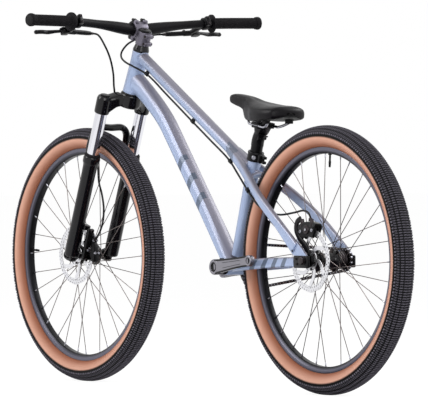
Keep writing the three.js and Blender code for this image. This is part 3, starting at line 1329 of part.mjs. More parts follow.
// A skin round the bar, with a ring at each of these places to the left of the middle
function alongBar(lefts, radiusAt, sides = 12) {
  const rings = lefts.map((left, k) => {
    const share = barShare(left);
    const point = barCurve.getPointAt(share);
    const tangent = barCurve.getTangentAt(share);
    const side = Z.clone().cross(tangent).normalize();
    const up = tangent.clone().cross(side).normalize();
    const radius = radiusAt(point, k);
    return ringAt(point, side, up, radius, radius, sides);
  });
  return loft(rings);
}

// The share of the way along the bar at which it lies this far to the left.
function barShare(left) {
  if (left > bar.half) return 0;
  let low = 0;
  let high = 1;
  const tries = 40;
  for (let i = 0; i < tries; i += 1) {
    const middle = (low + high) / 2;
    if (barCurve.getPointAt(middle).y > left) low = middle;
    else high = middle;
  }
  return low;
}

const gripMiddle = (bar.gripStart + bar.half) / 2;
const tapers = [
  bar.taperEnd, bar.kneeOffset, (bar.kneeOffset + bar.clampHalf) / 2, bar.clampHalf, bar.flatHalf,
];
const halfStations = [bar.half, gripMiddle, bar.gripStart, ...tapers];
const barStations = [...halfStations, ...halfStations.map((left) => -left).reverse()];

function barBore() {
  const ends = [bar.half + overrun, ...barStations.slice(1, -1), -bar.half - overrun];
  return alongBar(ends, (point) => barRadiusAt(point) - bar.wall, 8);
}
add("handlebar", cut(alongBar(barStations, barRadiusAt), barBore()), blackGloss, steering);

// A grip: a flange at its inner end, a soft tube, and a cap that closes the bar's end
function gripSolid(side) {
  const g = grip;
  const places = [bar.gripStart, gripMiddle, bar.half].map((left) => left * side);
  const body = alongBar(places, () => g.radius, 12);
  const flangePlaces = [bar.gripStart, bar.gripStart + g.flangeThickness].map((left) => left * side);
  const flange = alongBar(flangePlaces, () => g.flangeRadius, 14);
  const tip = barCurve.getPointAt(side > 0 ? 0 : 1);
  const inward = barCurve.getTangentAt(side > 0 ? 0 : 1).multiplyScalar(side);
  const at = (reach) => tip.clone().addScaledVector(inward, reach);
  const cap = barrel(at(g.capThickness - g.endWall), at(-g.endWall), g.capRadius, 14);
  const startPlaces = [bar.gripStart - overrun, bar.gripStart + gap].map((left) => left * side);
  const start = alongBar(startPlaces, () => bar.endRadius + gap);
  const room = barrel(at(g.capThickness), at(-gap), bar.endRadius + gap * 4, 12);
  return cut(joined(body, flange, cap), alongBar(places, () => bar.endRadius + gap), start, room);
}
add("grip_left", gripSolid(1), gripRubber, steering);
add("grip_right", gripSolid(-1), gripRubber, steering);

// Brake controls. The frame's X points from the bar to the lever's pivot and Z along the pivot's pin.
function brakeFrame(side) {
  const point = barCurve.getPointAt(barShare(side * brake.clampOffset));
  const away = V(Math.cos(brake.tilt), 0, -Math.sin(brake.tilt));
  const pin = V(Math.sin(brake.tilt), 0, Math.cos(brake.tilt));
  return new THREE.Matrix4().makeBasis(away, Y, pin).setPosition(point.setY(0));
}
const inBrake = (matrix, x, y, z) => V(x, y, z).applyMatrix4(matrix);

function brakeClampSolid(side) {
  const b = brake;
  const matrix = brakeFrame(side);
  const at = (ahead, left) => inBrake(matrix, ahead, side * left, 0);
  const share = barShare(side * b.clampOffset);
  const centre = barCurve.getPointAt(share);
  const along = barCurve.getTangentAt(share).multiplyScalar(-side);
  const ringStart = centre.clone().addScaledVector(along, -b.clampHalf);
  const ringEnd = centre.clone().addScaledVector(along, b.clampHalf);
  const ring = barrel(ringStart, ringEnd, b.clampRadius, 14);
  const inner = at(b.cylinderAhead + b.cylinderFlare, b.cylinderInner);
  const outer = at(b.cylinderAhead, b.cylinderOuter);
  const cylinder = barrel(outer, inner, b.cylinderRadius, 10, b.cylinderTip);
  const arm = loft([
    ringAt(at(b.clampRadius / 2, b.clampOffset), Y, Z, b.clampHalf, b.armHalfHeight * b.rootShare, 8, 0.7),
    ringAt(at(b.cylinderAhead, b.armOffset), Y, Z, b.armHalfWidth * b.rootShare, b.armHalfHeight, 8, 0.7),
  ]);
  const lugMiddle = V(b.cylinderAhead, side * (b.pivotOffset - b.lugReach / 2), 0);
  const lug = block(lugMiddle, V(b.lugHalf, b.lugReach, b.lugHalfHeight), matrix);
  const slotMiddle = V(b.cylinderAhead, side * (b.pivotOffset + b.lugReach / 2), 0);
  const slot = block(slotMiddle, V(b.lugHalf * 2, b.slotReach, lever.halfHeight + gap), matrix);
  const onPin = (height) => inBrake(matrix, b.cylinderAhead, side * b.pivotOffset, height);
  const pinHole = drill(onPin(-b.lugHalf), onPin(b.lugHalf), lever.pinRadius + gap, 10);
  const holeRadius = (point) => barRadiusAt(point) + gap * 2;
  const barHole = alongBar([side * bar.taperEnd, side * bar.gripStart], holeRadius);
  return cut(joined(ring, cylinder, arm, lug), slot, pinHole, barHole);
}

function brakeLeverSolid(side) {
  const l = lever;
  const b = brake;
  const matrix = brakeFrame(side);
  const at = (x, y) => inBrake(matrix, x, side * y, 0);
  const pin = V(0, 0, 1).transformDirection(matrix);
  const away = V(1, 0, 0).transformDirection(matrix);
  const pivot = at(b.cylinderAhead, b.pivotOffset);
  const onPin = (height) => pivot.clone().addScaledVector(pin, height);
  const eye = barrel(onPin(-l.halfHeight), onPin(l.halfHeight), l.eyeRadius, 14);
  const pinEnd = b.cylinderRadius + gap;
  const pinBar = barrel(onPin(-pinEnd), onPin(pinEnd), l.pinRadius, 10);
  const hollowAt = at(l.bladeAhead - l.hollow, (l.bladeOffset + l.tipOffset) / 2);
  const neckHalf = l.bladeHalfHeight * l.neckShare;
  const tipEnd = l.tipOffset + l.tipHalf * l.neckShare;
  const blade = loft([
    ringAt(pivot, away, pin, l.eyeRadius - gap, l.halfHeight - gap, 8, 0.7),
    ringAt(at(l.neckAhead, l.neckOffset), away, pin, l.neckHalfDepth, neckHalf, 8, 0.7),
    ringAt(at(l.bladeAhead, l.bladeOffset), away, pin, l.bladeHalfDepth, l.bladeHalfHeight, 8, 0.7),
    ringAt(hollowAt, away, pin, l.bladeHalfDepth, l.bladeHalfHeight, 8, 0.7),
    ringAt(at(l.tipAhead, l.tipOffset), away, pin, l.tipHalf, l.tipHalf, 8, 0.8),
    ringAt(at(l.tipAhead, tipEnd), away, pin, l.tipHalf / 2, l.tipHalf / 2, 8, 0.8),
  ]);
  return joined(eye, pinBar, blade);
}

for (const [word, side] of [["left", 1], ["right", -1]]) {
  add("brake_clamp_" + word, brakeClampSolid(side), blackSatin, steering);
  add("brake_lever_" + word, brakeLeverSolid(side), blackSatin, steering);
}

// Brake hoses, each whole, along the route that it takes on the bicycle
function cylinderEnds(side) {
  const matrix = brakeFrame(side);
  const outer = inBrake(matrix, brake.cylinderAhead, side * brake.cylinderOuter, 0);
  const innerAhead = brake.cylinderAhead + brake.cylinderFlare;
  const inner = inBrake(matrix, innerAhead, side * brake.cylinderInner, 0);
  const away = inner.clone().sub(outer).normalize();
  const at = (reach) => inner.clone().addScaledVector(away, reach).applyMatrix4(steerFrame);
  return [at(gap), at(hose.straight / 2), at(hose.straight)];
}
const frontHoseRoute = [
  V(334, 100, 917), V(322, 86, 888), V(322, 70, 856), V(334, 52, 818), V(353, 37, 787), V(371, 24, 757),
  V(384, 33, 731), V(392, 44, 704), V(405, 46, 668), V(418, 44, 632), V(428, 38, 592), V(426, 38, 560),
  V(421, 39, 530), V(408, 39, 500), V(399, 39, 462), V(402, 40, 425), V(414, 41, 400),
];
const rearHoseRoute = [
  V(345, -96, 920), V(350, -60, 914), V(340, -16.5, 903), V(338, 5, 892), V(337.7, 22, 873), V(325, 32, 859),
  V(299, 37, 845.6), V(270.6, 30, 833), V(229, 18, 813), V(131, 18, 754.5), V(25.6, 18, 690),
  V(-56.7, 18, 640), V(-140, 18, 588.5), V(-188, 25, 553), V(-241.6, 36, 515), V(-273.6, 42, 493),
  V(-302, 44, 474), V(-345, 44, 457), V(-399, 46, 450), V(-464, 48, 456), V(-504, 50, 461), V(-527, 51, 455),
];
function caliperEnds(centre, angle, left, matrix) {
  const out = V(Math.cos(angle), 0, Math.sin(angle));
  const from = centre.clone().setY(left).addScaledVector(out, caliperOuter);
  const at = (reach) => from.clone().addScaledVector(out, reach).applyMatrix4(matrix);
  return [at(hose.straight), at(hose.straight / 2), at(gap * 2)];
}
const frontHosePlace = frontHub.rotorPlace + caliper.hoseOffset;
const frontHoseEnds = caliperEnds(wheelInSteer, caliper.hoseAngle, frontHosePlace, steerFrame);
const rearHoseEnds = caliperEnds(rearCentre, Math.PI / 2, rearHub.rotorPlace, still);

const frontHosePath = [...cylinderEnds(1), ...frontHoseRoute, ...frontHoseEnds];
const rearHosePath = [...cylinderEnds(-1), ...rearHoseRoute, ...rearHoseEnds];
add("front_hose", tubeAlong(frontHosePath, hose.radius, hose.sides, 32), hoseBlack);
add("rear_hose", tubeAlong(rearHosePath, hose.radius, hose.sides, 48), hoseBlack);

export default bicycle;
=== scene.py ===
"""Looks of a dirt jump bicycle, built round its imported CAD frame.

Places are in millimetres in the frame of the CAD: X forward, Y to the rider's left, Z up, with the
origin on the ground midway between the axles. A mesh is turned into metres as it is made.
"""

import math

import bpy
import numpy as np
from mathutils import Matrix

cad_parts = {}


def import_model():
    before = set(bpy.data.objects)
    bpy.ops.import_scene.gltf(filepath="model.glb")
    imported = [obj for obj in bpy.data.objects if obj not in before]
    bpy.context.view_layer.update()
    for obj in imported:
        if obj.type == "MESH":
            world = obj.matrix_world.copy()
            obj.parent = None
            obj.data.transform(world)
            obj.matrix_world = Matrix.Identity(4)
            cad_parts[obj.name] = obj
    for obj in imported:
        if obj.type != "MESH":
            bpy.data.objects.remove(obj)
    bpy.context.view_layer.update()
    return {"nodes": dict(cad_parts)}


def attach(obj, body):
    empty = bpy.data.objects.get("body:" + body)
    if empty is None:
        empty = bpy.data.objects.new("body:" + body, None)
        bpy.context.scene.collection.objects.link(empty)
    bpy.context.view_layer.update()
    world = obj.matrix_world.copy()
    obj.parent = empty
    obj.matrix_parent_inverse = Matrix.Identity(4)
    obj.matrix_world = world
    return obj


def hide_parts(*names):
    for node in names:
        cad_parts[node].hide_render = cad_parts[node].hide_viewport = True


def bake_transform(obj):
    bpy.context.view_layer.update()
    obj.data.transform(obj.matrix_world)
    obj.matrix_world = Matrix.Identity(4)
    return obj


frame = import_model()
METRE = 0.001

# Camera: fitted to both wheels of the photograph, whose frame is 428 pixels wide
IMAGE_WIDTH = 428
FOCAL_PIXELS = 5233.5
SENSOR = 36.0
CAMERA_PLACE = (-11.0277, 7.8126, 0.5911)
YAW, PITCH, ROLL = -0.618455, -0.008634, -0.0028


def vec(*values):
    return np.array(values, float)


def unit(v):
    v = np.asarray(v, float)
    return v / np.linalg.norm(v, axis=-1, keepdims=True)


X, Y, Z = vec(1, 0, 0), vec(0, 1, 0), vec(0, 0, 1)


def make_camera():
    ahead = vec(math.cos(PITCH) * math.cos(YAW), math.cos(PITCH) * math.sin(YAW), math.sin(PITCH))
    level = unit(np.cross(ahead, Z))
    upright = np.cross(level, ahead)
    right = math.cos(ROLL) * level + math.sin(ROLL) * upright
    up = math.cos(ROLL) * upright - math.sin(ROLL) * level
    turn = Matrix(np.stack([right, up, -ahead], axis=1).tolist()).to_4x4()
    data = bpy.data.cameras.new("camera")
    data.lens = FOCAL_PIXELS * SENSOR / IMAGE_WIDTH
    data.sensor_width = SENSOR
    data.clip_end = 200
    made = bpy.data.objects.new("camera", data)
    made.matrix_world = Matrix.Translation(CAMERA_PLACE) @ turn
    bpy.context.collection.objects.link(made)
    bpy.context.scene.camera = made


make_camera()

# Wheels
TYRE_RADIUS = 337.0
WHEELBASE = 1070.0
REAR = vec(-WHEELBASE / 2, 0, TYRE_RADIUS)
FRONT = vec(WHEELBASE / 2, 0, TYRE_RADIUS)
TYRE_SECTION, TYRE_HALF_WIDTH, TYRE_WALL = 28.0, 29.5, 3.5
RIM_FLANGE, RIM_BED, SPOKE_BED, RIM_HALF, BED_HALF = 283.0, 275.0, 266.5, 13.4, 8.0
TREAD_ROWS = 320
# Spokes to a flange
SPOKES = 16

# Frame
CRANK = vec(-146.773, 0, 315.0)
CRANK_ANGLE = math.radians(6.25)
SIDES = (("left", 1), ("right", -1))
CRANK_LENGTH = 170.0
HEAD_ANGLE = math.radians(69)
SEAT_ANGLE = math.radians(73.4)
STEER_ORIGIN = vec(493.642, 0, 321.124)
STEER_UP = vec(-math.cos(HEAD_ANGLE), 0, math.sin(HEAD_ANGLE))
STEER_AHEAD = vec(math.sin(HEAD_ANGLE), 0, math.cos(HEAD_ANGLE))
SEAT_UP = vec(-math.cos(SEAT_ANGLE), 0, math.sin(SEAT_ANGLE))
SEAT_AHEAD = vec(math.sin(SEAT_ANGLE), 0, math.cos(SEAT_ANGLE))
TOP_START = vec(285.07, 0, 864.47)
TOP_END = vec(-220.09, 0, 560.94)
TOP_WAY = unit(TOP_END - TOP_START)
TOP_RADIUS, SEAT_RADIUS, SHELL_RADIUS = 15.9, 17.4, 20.6
# The axle's place on the inner face of the left dropout
DROPOUT = REAR + vec(0, 67.8, 0)
CHAIN_LINE = 55.0
CHAIN_PITCH = 12.7
RING_TEETH, COG_TEETH = 28, 13
YOKE = vec(-257.121, 0, 643.149)
CLAMP = vec(-264.121, 0, 676.149)

# Cockpit
BAR_CENTRE_AHEAD, BAR_CENTRE_UP = 32.0, 641.0
LEG_AHEAD, LEG_OFFSET = 27.0, 63.5
AXLE_AHEAD = 44.3
BRAKE_TILT = math.radians(45)
BRAKE_LEFT, GRIP_START, BAR_END = 203.0, 222, 364
# The lever's pivot, ahead of the bar and to the left, in a brake's own directions
PIVOT = (56, 212)
HOSE_RADIUS = 2.6


def steer(up, ahead=0.0, left=0.0):
    """The point up the steering axis, ahead of it and to the left: O + up a + ahead n + left Y."""
    return STEER_ORIGIN + up * STEER_UP + ahead * STEER_AHEAD + left * Y


def seat(up, ahead=0.0, left=0.0):
    """The point up the seat tube's axis, ahead of it and to the left: C + up s + ahead t + left Y."""
    return CRANK + up * SEAT_UP + ahead * SEAT_AHEAD + left * Y


def ease(t):
    """3 t^2 - 2 t^3 with t held from 0 to 1."""
    t = np.clip(t, 0, 1)
    return t * t * (3 - 2 * t)


def mix(a, b, t):
    return a + (b - a) * t


def around(angle):
    """The direction at this angle from +X towards +Z."""
    return vec(math.cos(angle), 0, math.sin(angle))


# Surfaces
class Skin:
    """A set of closed surfaces that becomes one mesh. Each is turned so that its faces look out."""

    def __init__(self):
        self.points = []
        self.faces = []
        self.count = 0

    def add(self, points, faces):
        """Points (n, 3) and lists of corners, whose order the sign of the volume, sum a.(b x c) / 6, sets."""
        points = np.asarray(points, float)
        volume = 0.0
        for face in faces:
            a = points[face[:, 0]]
            for k in range(1, face.shape[1] - 1):
                volume += np.einsum("ij,ij->i", a, np.cross(points[face[:, k]], points[face[:, k + 1]])).sum()
        for face in faces:
            turned = face[:, ::-1] if volume < 0 else face
            self.faces.extend((turned + self.count).tolist())
        self.points.append(points)
        self.count += len(points)
        return self

    def grid(self, points, closed_rows=False):
        """Rows of rings, points[i, j], joined as quads. Open ends are closed by fans about their middles."""
        rows, columns = points.shape[:2]
        i = np.arange(rows if closed_rows else rows - 1)
        j = np.arange(columns)
        i, j = np.meshgrid(i, j, indexing="ij")
        n, m = (i + 1) % rows, (j + 1) % columns
        quads = np.stack([i * columns + j, i * columns + m, n * columns + m, n * columns + j], -1)
        quads = quads.reshape(-1, 4)
        flat = points.reshape(-1, 3)
        if closed_rows:
            return self.add(flat, [quads])
        j = np.arange(columns)
        m = (j + 1) % columns
        last = (rows - 1) * columns
        start = np.stack([np.full(columns, len(flat)), m, j], -1)
        end = np.stack([np.full(columns, len(flat) + 1), last + j, last + m], -1)
        flat = np.concatenate([flat, points[0].mean(0)[None], points[-1].mean(0)[None]])
        return self.add(flat, [quads, start, end])

    def pair(self):
        """This skin as the left one, and its image in the plane y = 0 as the right one."""
        other = Skin()
        other.points = [np.concatenate(self.points) * vec(1, -1, 1)]
        other.faces = [list(reversed(face)) for face in self.faces]
        other.count = self.count
        return ("left", self), ("right", other)


# Slots of the materials that aren't named like them
SLOTS = {"black_matt_alloy": "black_alloy", "spoke_steel": "bright_steel", "rotor_steel_rear": "rotor_steel"}


def piece(name, skin, material, body, nodes=(), smooth_angle=38, slot=None):
    """One mesh object from a skin, on a body if one is given, in place of the named nodes.

    A piece named NODE_visual stands for that node. A slot's name is worked out from the material's name,
    without the number that Blender adds to a name that the CAD has too, but nothing uses it.
    """
    kind = material.name.split(".")[0]
    slot = slot or SLOTS.get(kind, kind)
    nodes = nodes or ([name[:-len("_visual")]] if name.endswith("_visual") else [])
    mesh = bpy.data.meshes.new(name)
    mesh.from_pydata((np.concatenate(skin.points) * METRE).tolist(), [], skin.faces)
    mesh.materials.append(material)
    mesh.polygons.foreach_set("use_smooth", np.ones(len(mesh.polygons), bool))
    mesh.set_sharp_from_angle(angle=math.radians(smooth_angle))
    mesh.update()
    made = bpy.data.objects.new(name, mesh)
    bpy.context.collection.objects.link(made)
    if nodes:
        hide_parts(*nodes)
    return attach(made, body) if body else made


def smooth_path(points, count):
    """Points at even distances along the centripetal Catmull-Rom curve through the given points."""
    p = np.asarray(points, float)
    p = np.concatenate([[2 * p[0] - p[1]], p, [2 * p[-1] - p[-2]]])
    step = np.sqrt(np.linalg.norm(np.diff(p, axis=0), axis=1))
    t = np.concatenate([[0], np.cumsum(step)])
    out = []
    for k in range(1, len(p) - 2):
        s = np.linspace(t[k], t[k + 1], 24, endpoint=False)[:, None]
        a1 = ((t[k] - s) * p[k - 1] + (s - t[k - 1]) * p[k]) / (t[k] - t[k - 1])
        a2 = ((t[k + 1] - s) * p[k] + (s - t[k]) * p[k + 1]) / (t[k + 1] - t[k])
        a3 = ((t[k + 2] - s) * p[k + 1] + (s - t[k + 1]) * p[k + 2]) / (t[k + 2] - t[k + 1])
        b1 = ((t[k + 1] - s) * a1 + (s - t[k - 1]) * a2) / (t[k + 1] - t[k - 1])
        b2 = ((t[k + 2] - s) * a2 + (s - t[k]) * a3) / (t[k + 2] - t[k])
        out.append(((t[k + 1] - s) * b1 + (s - t[k]) * b2) / (t[k + 1] - t[k]))
    line = np.concatenate(out + [p[-2][None]])
    return even(line, count)


def even(line, count):
    """The same line with this many points at even distances."""
    along = np.concatenate([[0], np.cumsum(np.linalg.norm(np.diff(line, axis=0), axis=1))])
    at = np.linspace(0, along[-1], count)
    return np.stack([np.interp(at, along, line[:, k]) for k in range(3)], -1)


def frames(path, reference=None):
    """Tangents T, sides S and ups U along a path: S = R x T, or carried along where there is no R."""
    tangent = unit(np.gradient(path, axis=0))
    if reference is not None:
        side = unit(np.cross(reference, tangent))
    else:
        start = X if abs(tangent[0][0]) < 0.8 else Y
        side = [unit(np.cross(start, tangent[0]))]
        for t in tangent[1:]:
            side.append(unit(side[-1] - t * np.dot(side[-1], t)))
        side = np.array(side)
    return tangent, side, unit(np.cross(tangent, side))


def oval(count, squareness=1.0, start=0.5):
    """Shares (c, s) of a squared ellipse: sign(cos) |cos|^q, sign(sin) |sin|^q."""
    turn = (np.arange(count) + start) / count * 2 * math.pi
    c, s = np.cos(turn), np.sin(turn)
    return np.sign(c) * np.abs(c) ** squareness, np.sign(s) * np.abs(s) ** squareness


def sweep(path, half_side, half_up, sides=36, squareness=1.0, reference=None, skin=None):
    """A tube along a path: P + S a c(u) + U b s(u), with half sizes a and b given at each point."""
    tangent, side, up = frames(path, reference)
    c, s = oval(sides, squareness)
    a = np.broadcast_to(np.asarray(half_side, float), (len(path),))[:, None, None]
    b = np.broadcast_to(np.asarray(half_up, float), (len(path),))[:, None, None]
    rings = path[:, None] + side[:, None] * a * c[None, :, None] + up[:, None] * b * s[None, :, None]
    return (skin or Skin()).grid(rings)


def sections(path, one, half_one, two, half_two, shape, skin=None):
    """Closed sections P + A a c + B b s round a path's points, with the shares (c, s) in shape."""
    c, s = shape
    rings = path[:, None] + np.atleast_2d(one)[:, None] * (half_one[:, None] * c)[..., None] \
        + np.atleast_2d(two)[:, None] * (half_two[:, None] * s)[..., None]
    return (skin or Skin()).grid(rings)


def line(a, b, count=2):
    return np.linspace(a, b, count)


def basis(axis):
    """Two directions square to an axis and to each other."""
    axis = unit(axis)
    start = Y if abs(axis[1]) < 0.9 else X
    one = unit(np.cross(start, axis))
    return one, np.cross(axis, one)


def lathe(profile, centre, axis, steps=64, skin=None, round_by=None):
    """Rows [radius, height] turned about an axis: C + h A + r (cos v B1 + sin v B2).

    A profile that starts and ends on the axis is closed by fans, any other is closed on itself.
    round_by gives a factor of the radius for each angle.
    """
    profile = np.asarray(profile, float)
    axis = unit(axis)
    one, two = basis(axis)
    v = np.arange(steps) / steps * 2 * math.pi
    factor = np.ones(steps) if round_by is None else round_by(v)
    out = (np.cos(v)[:, None] * one + np.sin(v)[:, None] * two) * factor[:, None]
    on_axis = profile[0, 0] == 0
    rows = profile[1:-1] if on_axis else profile
    rings = centre + rows[:, 1, None, None] * axis + rows[:, 0, None, None] * out[None]
    return (skin or Skin()).grid(rings, closed_rows=not on_axis)


def rounded(profile, radius=0.8):
    """The same profile with its corners cut by short slopes, but for ends that lie on the axis."""
    p = np.asarray(profile, float)
    closed = p[0, 0] != 0
    out = []
    n = len(p)
    for k in range(n):
        if not closed and k in (0, n - 1):
            out.append(p[k])
            continue
        before, after = p[(k - 1) % n] - p[k], p[(k + 1) % n] - p[k]
        lb, la = np.linalg.norm(before), np.linalg.norm(after)
        r = min(radius, lb * 0.45, la * 0.45)
        b, a = p[k] + before / lb * r, p[k] + after / la * r
        out.extend([b, (b + a) / 4 + p[k] / 2, a])
    return np.array(out)


def bar(a, b, radius, end_radius=None, steps=32, edge=0.6, skin=None):
    """A round bar from a to b with softened ends."""
    length = np.linalg.norm(np.asarray(b) - a)
    last = radius if end_radius is None else end_radius
    profile = rounded([[0, 0], [radius, 0], [last, length], [0, length]], edge)
    return lathe(profile, np.asarray(a, float), np.asarray(b) - a, steps, skin)


def slab(outline, low, high, origin, across, up, edge=0.8, skin=None):
    """A flat outline (n, 2) raised from low to high along across x up, with sloped edges."""
    o = np.asarray(outline, float)
    area = 0.5 * np.sum(o[:, 0] * np.roll(o[:, 1], -1) - np.roll(o[:, 0], -1) * o[:, 1])
    if area < 0:
        o = o[::-1]
    way = unit(np.roll(o, -1, 0) - np.roll(o, 1, 0))
    inward = np.stack([-way[:, 1], way[:, 0]], -1)
    normal = np.cross(across, up)
    rows = []
    for inset, height in ((edge, low), (edge * 0.3, low + edge * 0.3), (0, low + edge),
                          (0, high - edge), (edge * 0.3, high - edge * 0.3), (edge, high)):
        flat = o + inward * inset
        rows.append(origin + flat[:, :1] * across + flat[:, 1:] * up + height * normal)
    rings = np.array(rows)
    count = len(o)
    i, j = np.meshgrid(np.arange(5), np.arange(count), indexing="ij")
    m = (j + 1) % count
    quads = np.stack([i * count + j, i * count + m, (i + 1) * count + m, (i + 1) * count + j], -1)
    bottom = np.arange(count)[::-1][None]
    top = (5 * count + np.arange(count))[None]
    return (skin or Skin()).add(rings.reshape(-1, 3), [quads.reshape(-1, 4), bottom, top])


def rounded_corners(points, radius, steps=5):
    """A closed outline whose corners are round: each is the Bezier curve from one side to the next."""
    p = np.asarray(points, float)
    out = []
    for k in range(len(p)):
        before, after = p[k - 1] - p[k], p[(k + 1) % len(p)] - p[k]
        lb, la = np.linalg.norm(before), np.linalg.norm(after)
        r = min(radius, lb * 0.45, la * 0.45)
        b, a = p[k] + before / lb * r, p[k] + after / la * r
        t = np.linspace(0, 1, steps)[:, None]
        out.append((1 - t) ** 2 * b + 2 * t * (1 - t) * p[k] + t * t * a)
    return np.concatenate(out)


def oblong(half_x, half_y, radius):
    corners = np.array([[-1, -1], [1, -1], [1, 1], [-1, 1]]) * (half_x, half_y)
    return rounded_corners(corners, radius)


def arc_outline(start, end, count, outer, inner):
    """The outline of a part of a ring about the origin, from one angle to another."""
    u = np.linspace(start, end, count)
    way = np.stack([np.cos(u), np.sin(u)], -1)
    return np.concatenate([way * outer, way[::-1] * inner])


def ring_slab(outer, inner, low, high, centre, axis, steps, edge=0.4, skin=None):
    """A flat ring whose outer and inner radius follow the angle: a closed profile at each angle."""
    v = np.arange(steps) / steps * 2 * math.pi
    ro = np.broadcast_to(outer(v) if callable(outer) else outer, (steps,))
    ri = np.broadcast_to(inner(v) if callable(inner) else inner, (steps,))
    one, two = basis(axis)
    out = np.cos(v)[:, None] * one + np.sin(v)[:, None] * two
    rows = [(ri, low + edge), (ri + edge, low), (ro - edge, low), (ro, low + edge),
            (ro, high - edge), (ro - edge, high), (ri + edge, high), (ri, high - edge)]
    rings = np.array([centre + h * unit(axis) + r[:, None] * out for r, h in rows])
    return (skin or Skin()).grid(rings, closed_rows=True)


def six_sides(v):
    """The factor of the radius that gives six flats."""
    return np.cos(math.pi / 6) / np.cos((v % (math.pi / 3)) - math.pi / 6) * 1.08


def bolt(at, axis, radius=3.2, height=3.0, skin=None, hexagon=False):
    """A bolt's head: a low cylinder with a socket, or a six sided nut with a dome."""
    socket = radius * 0.52
    if hexagon:
        profile = [[0, 0], [radius, 0], [radius, height], [socket, height + 0.6], [0, height + 0.8]]
        return lathe(rounded(profile, 0.4), at, axis, 36, skin, six_sides)
    profile = [[0, 0], [radius, 0], [radius, height - 0.5], [radius - 0.5, height], [socket + 0.2, height],
               [socket, height - 0.3], [socket, height * 0.35], [0, height * 0.35]]
    return lathe(profile, at, axis, 24, skin)


# Shader maths
def set_inputs(tree, node, values):
    """Feeds a node's inputs, by name or number, from plain values or from sockets."""
    for key, value in values.items():
        if isinstance(value, Socket):
            tree.links.new(value.link, node.inputs[key])
        else:
            node.inputs[key].default_value = value
    return node


class Socket:
    """A value in a node tree that adds, multiplies and compares like a number."""

    def __init__(self, tree, link):
        self.tree = tree
        self.link = link

    def math(self, operation, *others):
        node = self.tree.nodes.new("ShaderNodeMath")
        node.operation = operation
        set_inputs(self.tree, node, dict(enumerate((self, *others))))
        return Socket(self.tree, node.outputs[0])

    def __add__(self, other):
        return self.math("ADD", other)

    def __sub__(self, other):
        return self.math("SUBTRACT", other)

    def __mul__(self, other):
        return self.math("MULTIPLY", other)

    def __lt__(self, other):
        return self.math("LESS_THAN", other)

    def __gt__(self, other):
        return self.math("GREATER_THAN", other)

    def absolute(self):
        return self.math("ABSOLUTE")

    def within(self, low, high):
        """1 from low to high, else 0."""
        return (self > low) * (self < high)

    def step(self, low, high):
        """0 below low, 1 above high, and a smooth change between them."""
        node = self.tree.nodes.new("ShaderNodeMapRange")
        node.interpolation_type = "SMOOTHSTEP"
        set_inputs(self.tree, node, {"Value": self, "From Min": low, "From Max": high})
        return Socket(self.tree, node.outputs["Result"])


def colour(red, green, blue):
    """An sRGB colour of 0 to 255 as linear shares: ((c + 0.055) / 1.055)^2.4 above 0.04."""
    c = vec(red, green, blue) / 255
    linear = np.where(c <= 0.04045, c / 12.92, ((c + 0.055) / 1.055) ** 2.4)
    return (*linear.tolist(), 1.0)


class Surface:
    """A material round one Principled shader, with helpers that feed its sockets."""

    def __init__(self, name, base, roughness, metallic=0.0, coat=0.0, coat_roughness=0.1, specular=0.5):
        self.material = bpy.data.materials.new(name)
        self.material.use_nodes = True
        self.tree = self.material.node_tree
        self.shader = self.tree.nodes["Principled BSDF"]
        set_inputs(self.tree, self.shader, {
            "Base Color": base, "Roughness": roughness, "Metallic": metallic, "Coat Weight": coat,
            "Coat Roughness": coat_roughness, "Specular IOR Level": specular,
        })
        self.base = base
        self.roughness = roughness

    def node(self, kind, inputs=(), **settings):
        made = self.tree.nodes.new(kind)
        for key, value in settings.items():
            setattr(made, key, value)
        return set_inputs(self.tree, made, dict(inputs))

    def out(self, node, key=0):
        return Socket(self.tree, node.outputs[key])

    def place(self):
        return self.out(self.node("ShaderNodeTexCoord"), "Object")

    def split(self, vector):
        node = self.node("ShaderNodeSeparateXYZ", {0: vector})
        return [self.out(node, k) for k in range(3)]

    def upward(self):
        """The Z part of the surface's own direction: 1 on top, 0 on the sides, -1 below."""
        return self.split(self.out(self.node("ShaderNodeTexCoord"), "Normal"))[2]

    def attribute(self, name):
        return self.out(self.node("ShaderNodeAttribute", attribute_name=name), "Fac")

    def noise(self, scale, detail=2.0, vector=None, stretch=None):
        source = vector or self.place()
        if stretch:
            longer = self.node("ShaderNodeVectorMath", {0: source, 1: stretch}, operation="MULTIPLY")
            source = self.out(longer)
        made = self.node("ShaderNodeTexNoise", {"Vector": source, "Scale": scale, "Detail": detail})
        return self.out(made)

    def blend(self, factor, first, second):
        return self.out(self.node("ShaderNodeMix", {0: factor, 6: first, 7: second}, data_type="RGBA"), 2)

    def feed(self, key, value):
        self.tree.links.new(value.link, self.shader.inputs[key])
        return self

    def vary_roughness(self, noise, amount):
        return self.feed("Roughness", (noise - 0.5) * amount + self.roughness)

    def shade(self, noise, amount):
        """The base colour darkened and lightened by a share."""
        darker = tuple(c * (1 - amount) for c in self.base[:3]) + (1,)
        lighter = tuple(min(1, c * (1 + amount)) for c in self.base[:3]) + (1,)
        return self.blend(noise, darker, lighter)

    def bump(self, height, distance, strength=1.0):
        node = self.node("ShaderNodeBump", {"Height": height, "Distance": distance, "Strength": strength})
        self.tree.links.new(node.outputs[0], self.shader.inputs["Normal"])
        return self


def plain(name, base, roughness, metallic=0.0, coat=0.0, grain=900, grain_depth=0.00002, rough_share=0.12,
          shade=0.06, stretch=None, specular=0.5):
    """A material with fine grain in its roughness, colour and relief."""
    made = Surface(name, base, roughness, metallic, coat, specular=specular)
    noise = made.noise(grain, 3, stretch=stretch)
    made.vary_roughness(noise, rough_share)
    made.feed("Base Color", made.shade(made.noise(14, 3), shade))
    made.bump(noise, grain_depth)
    return made.material


SLATE = colour(74, 86, 104)


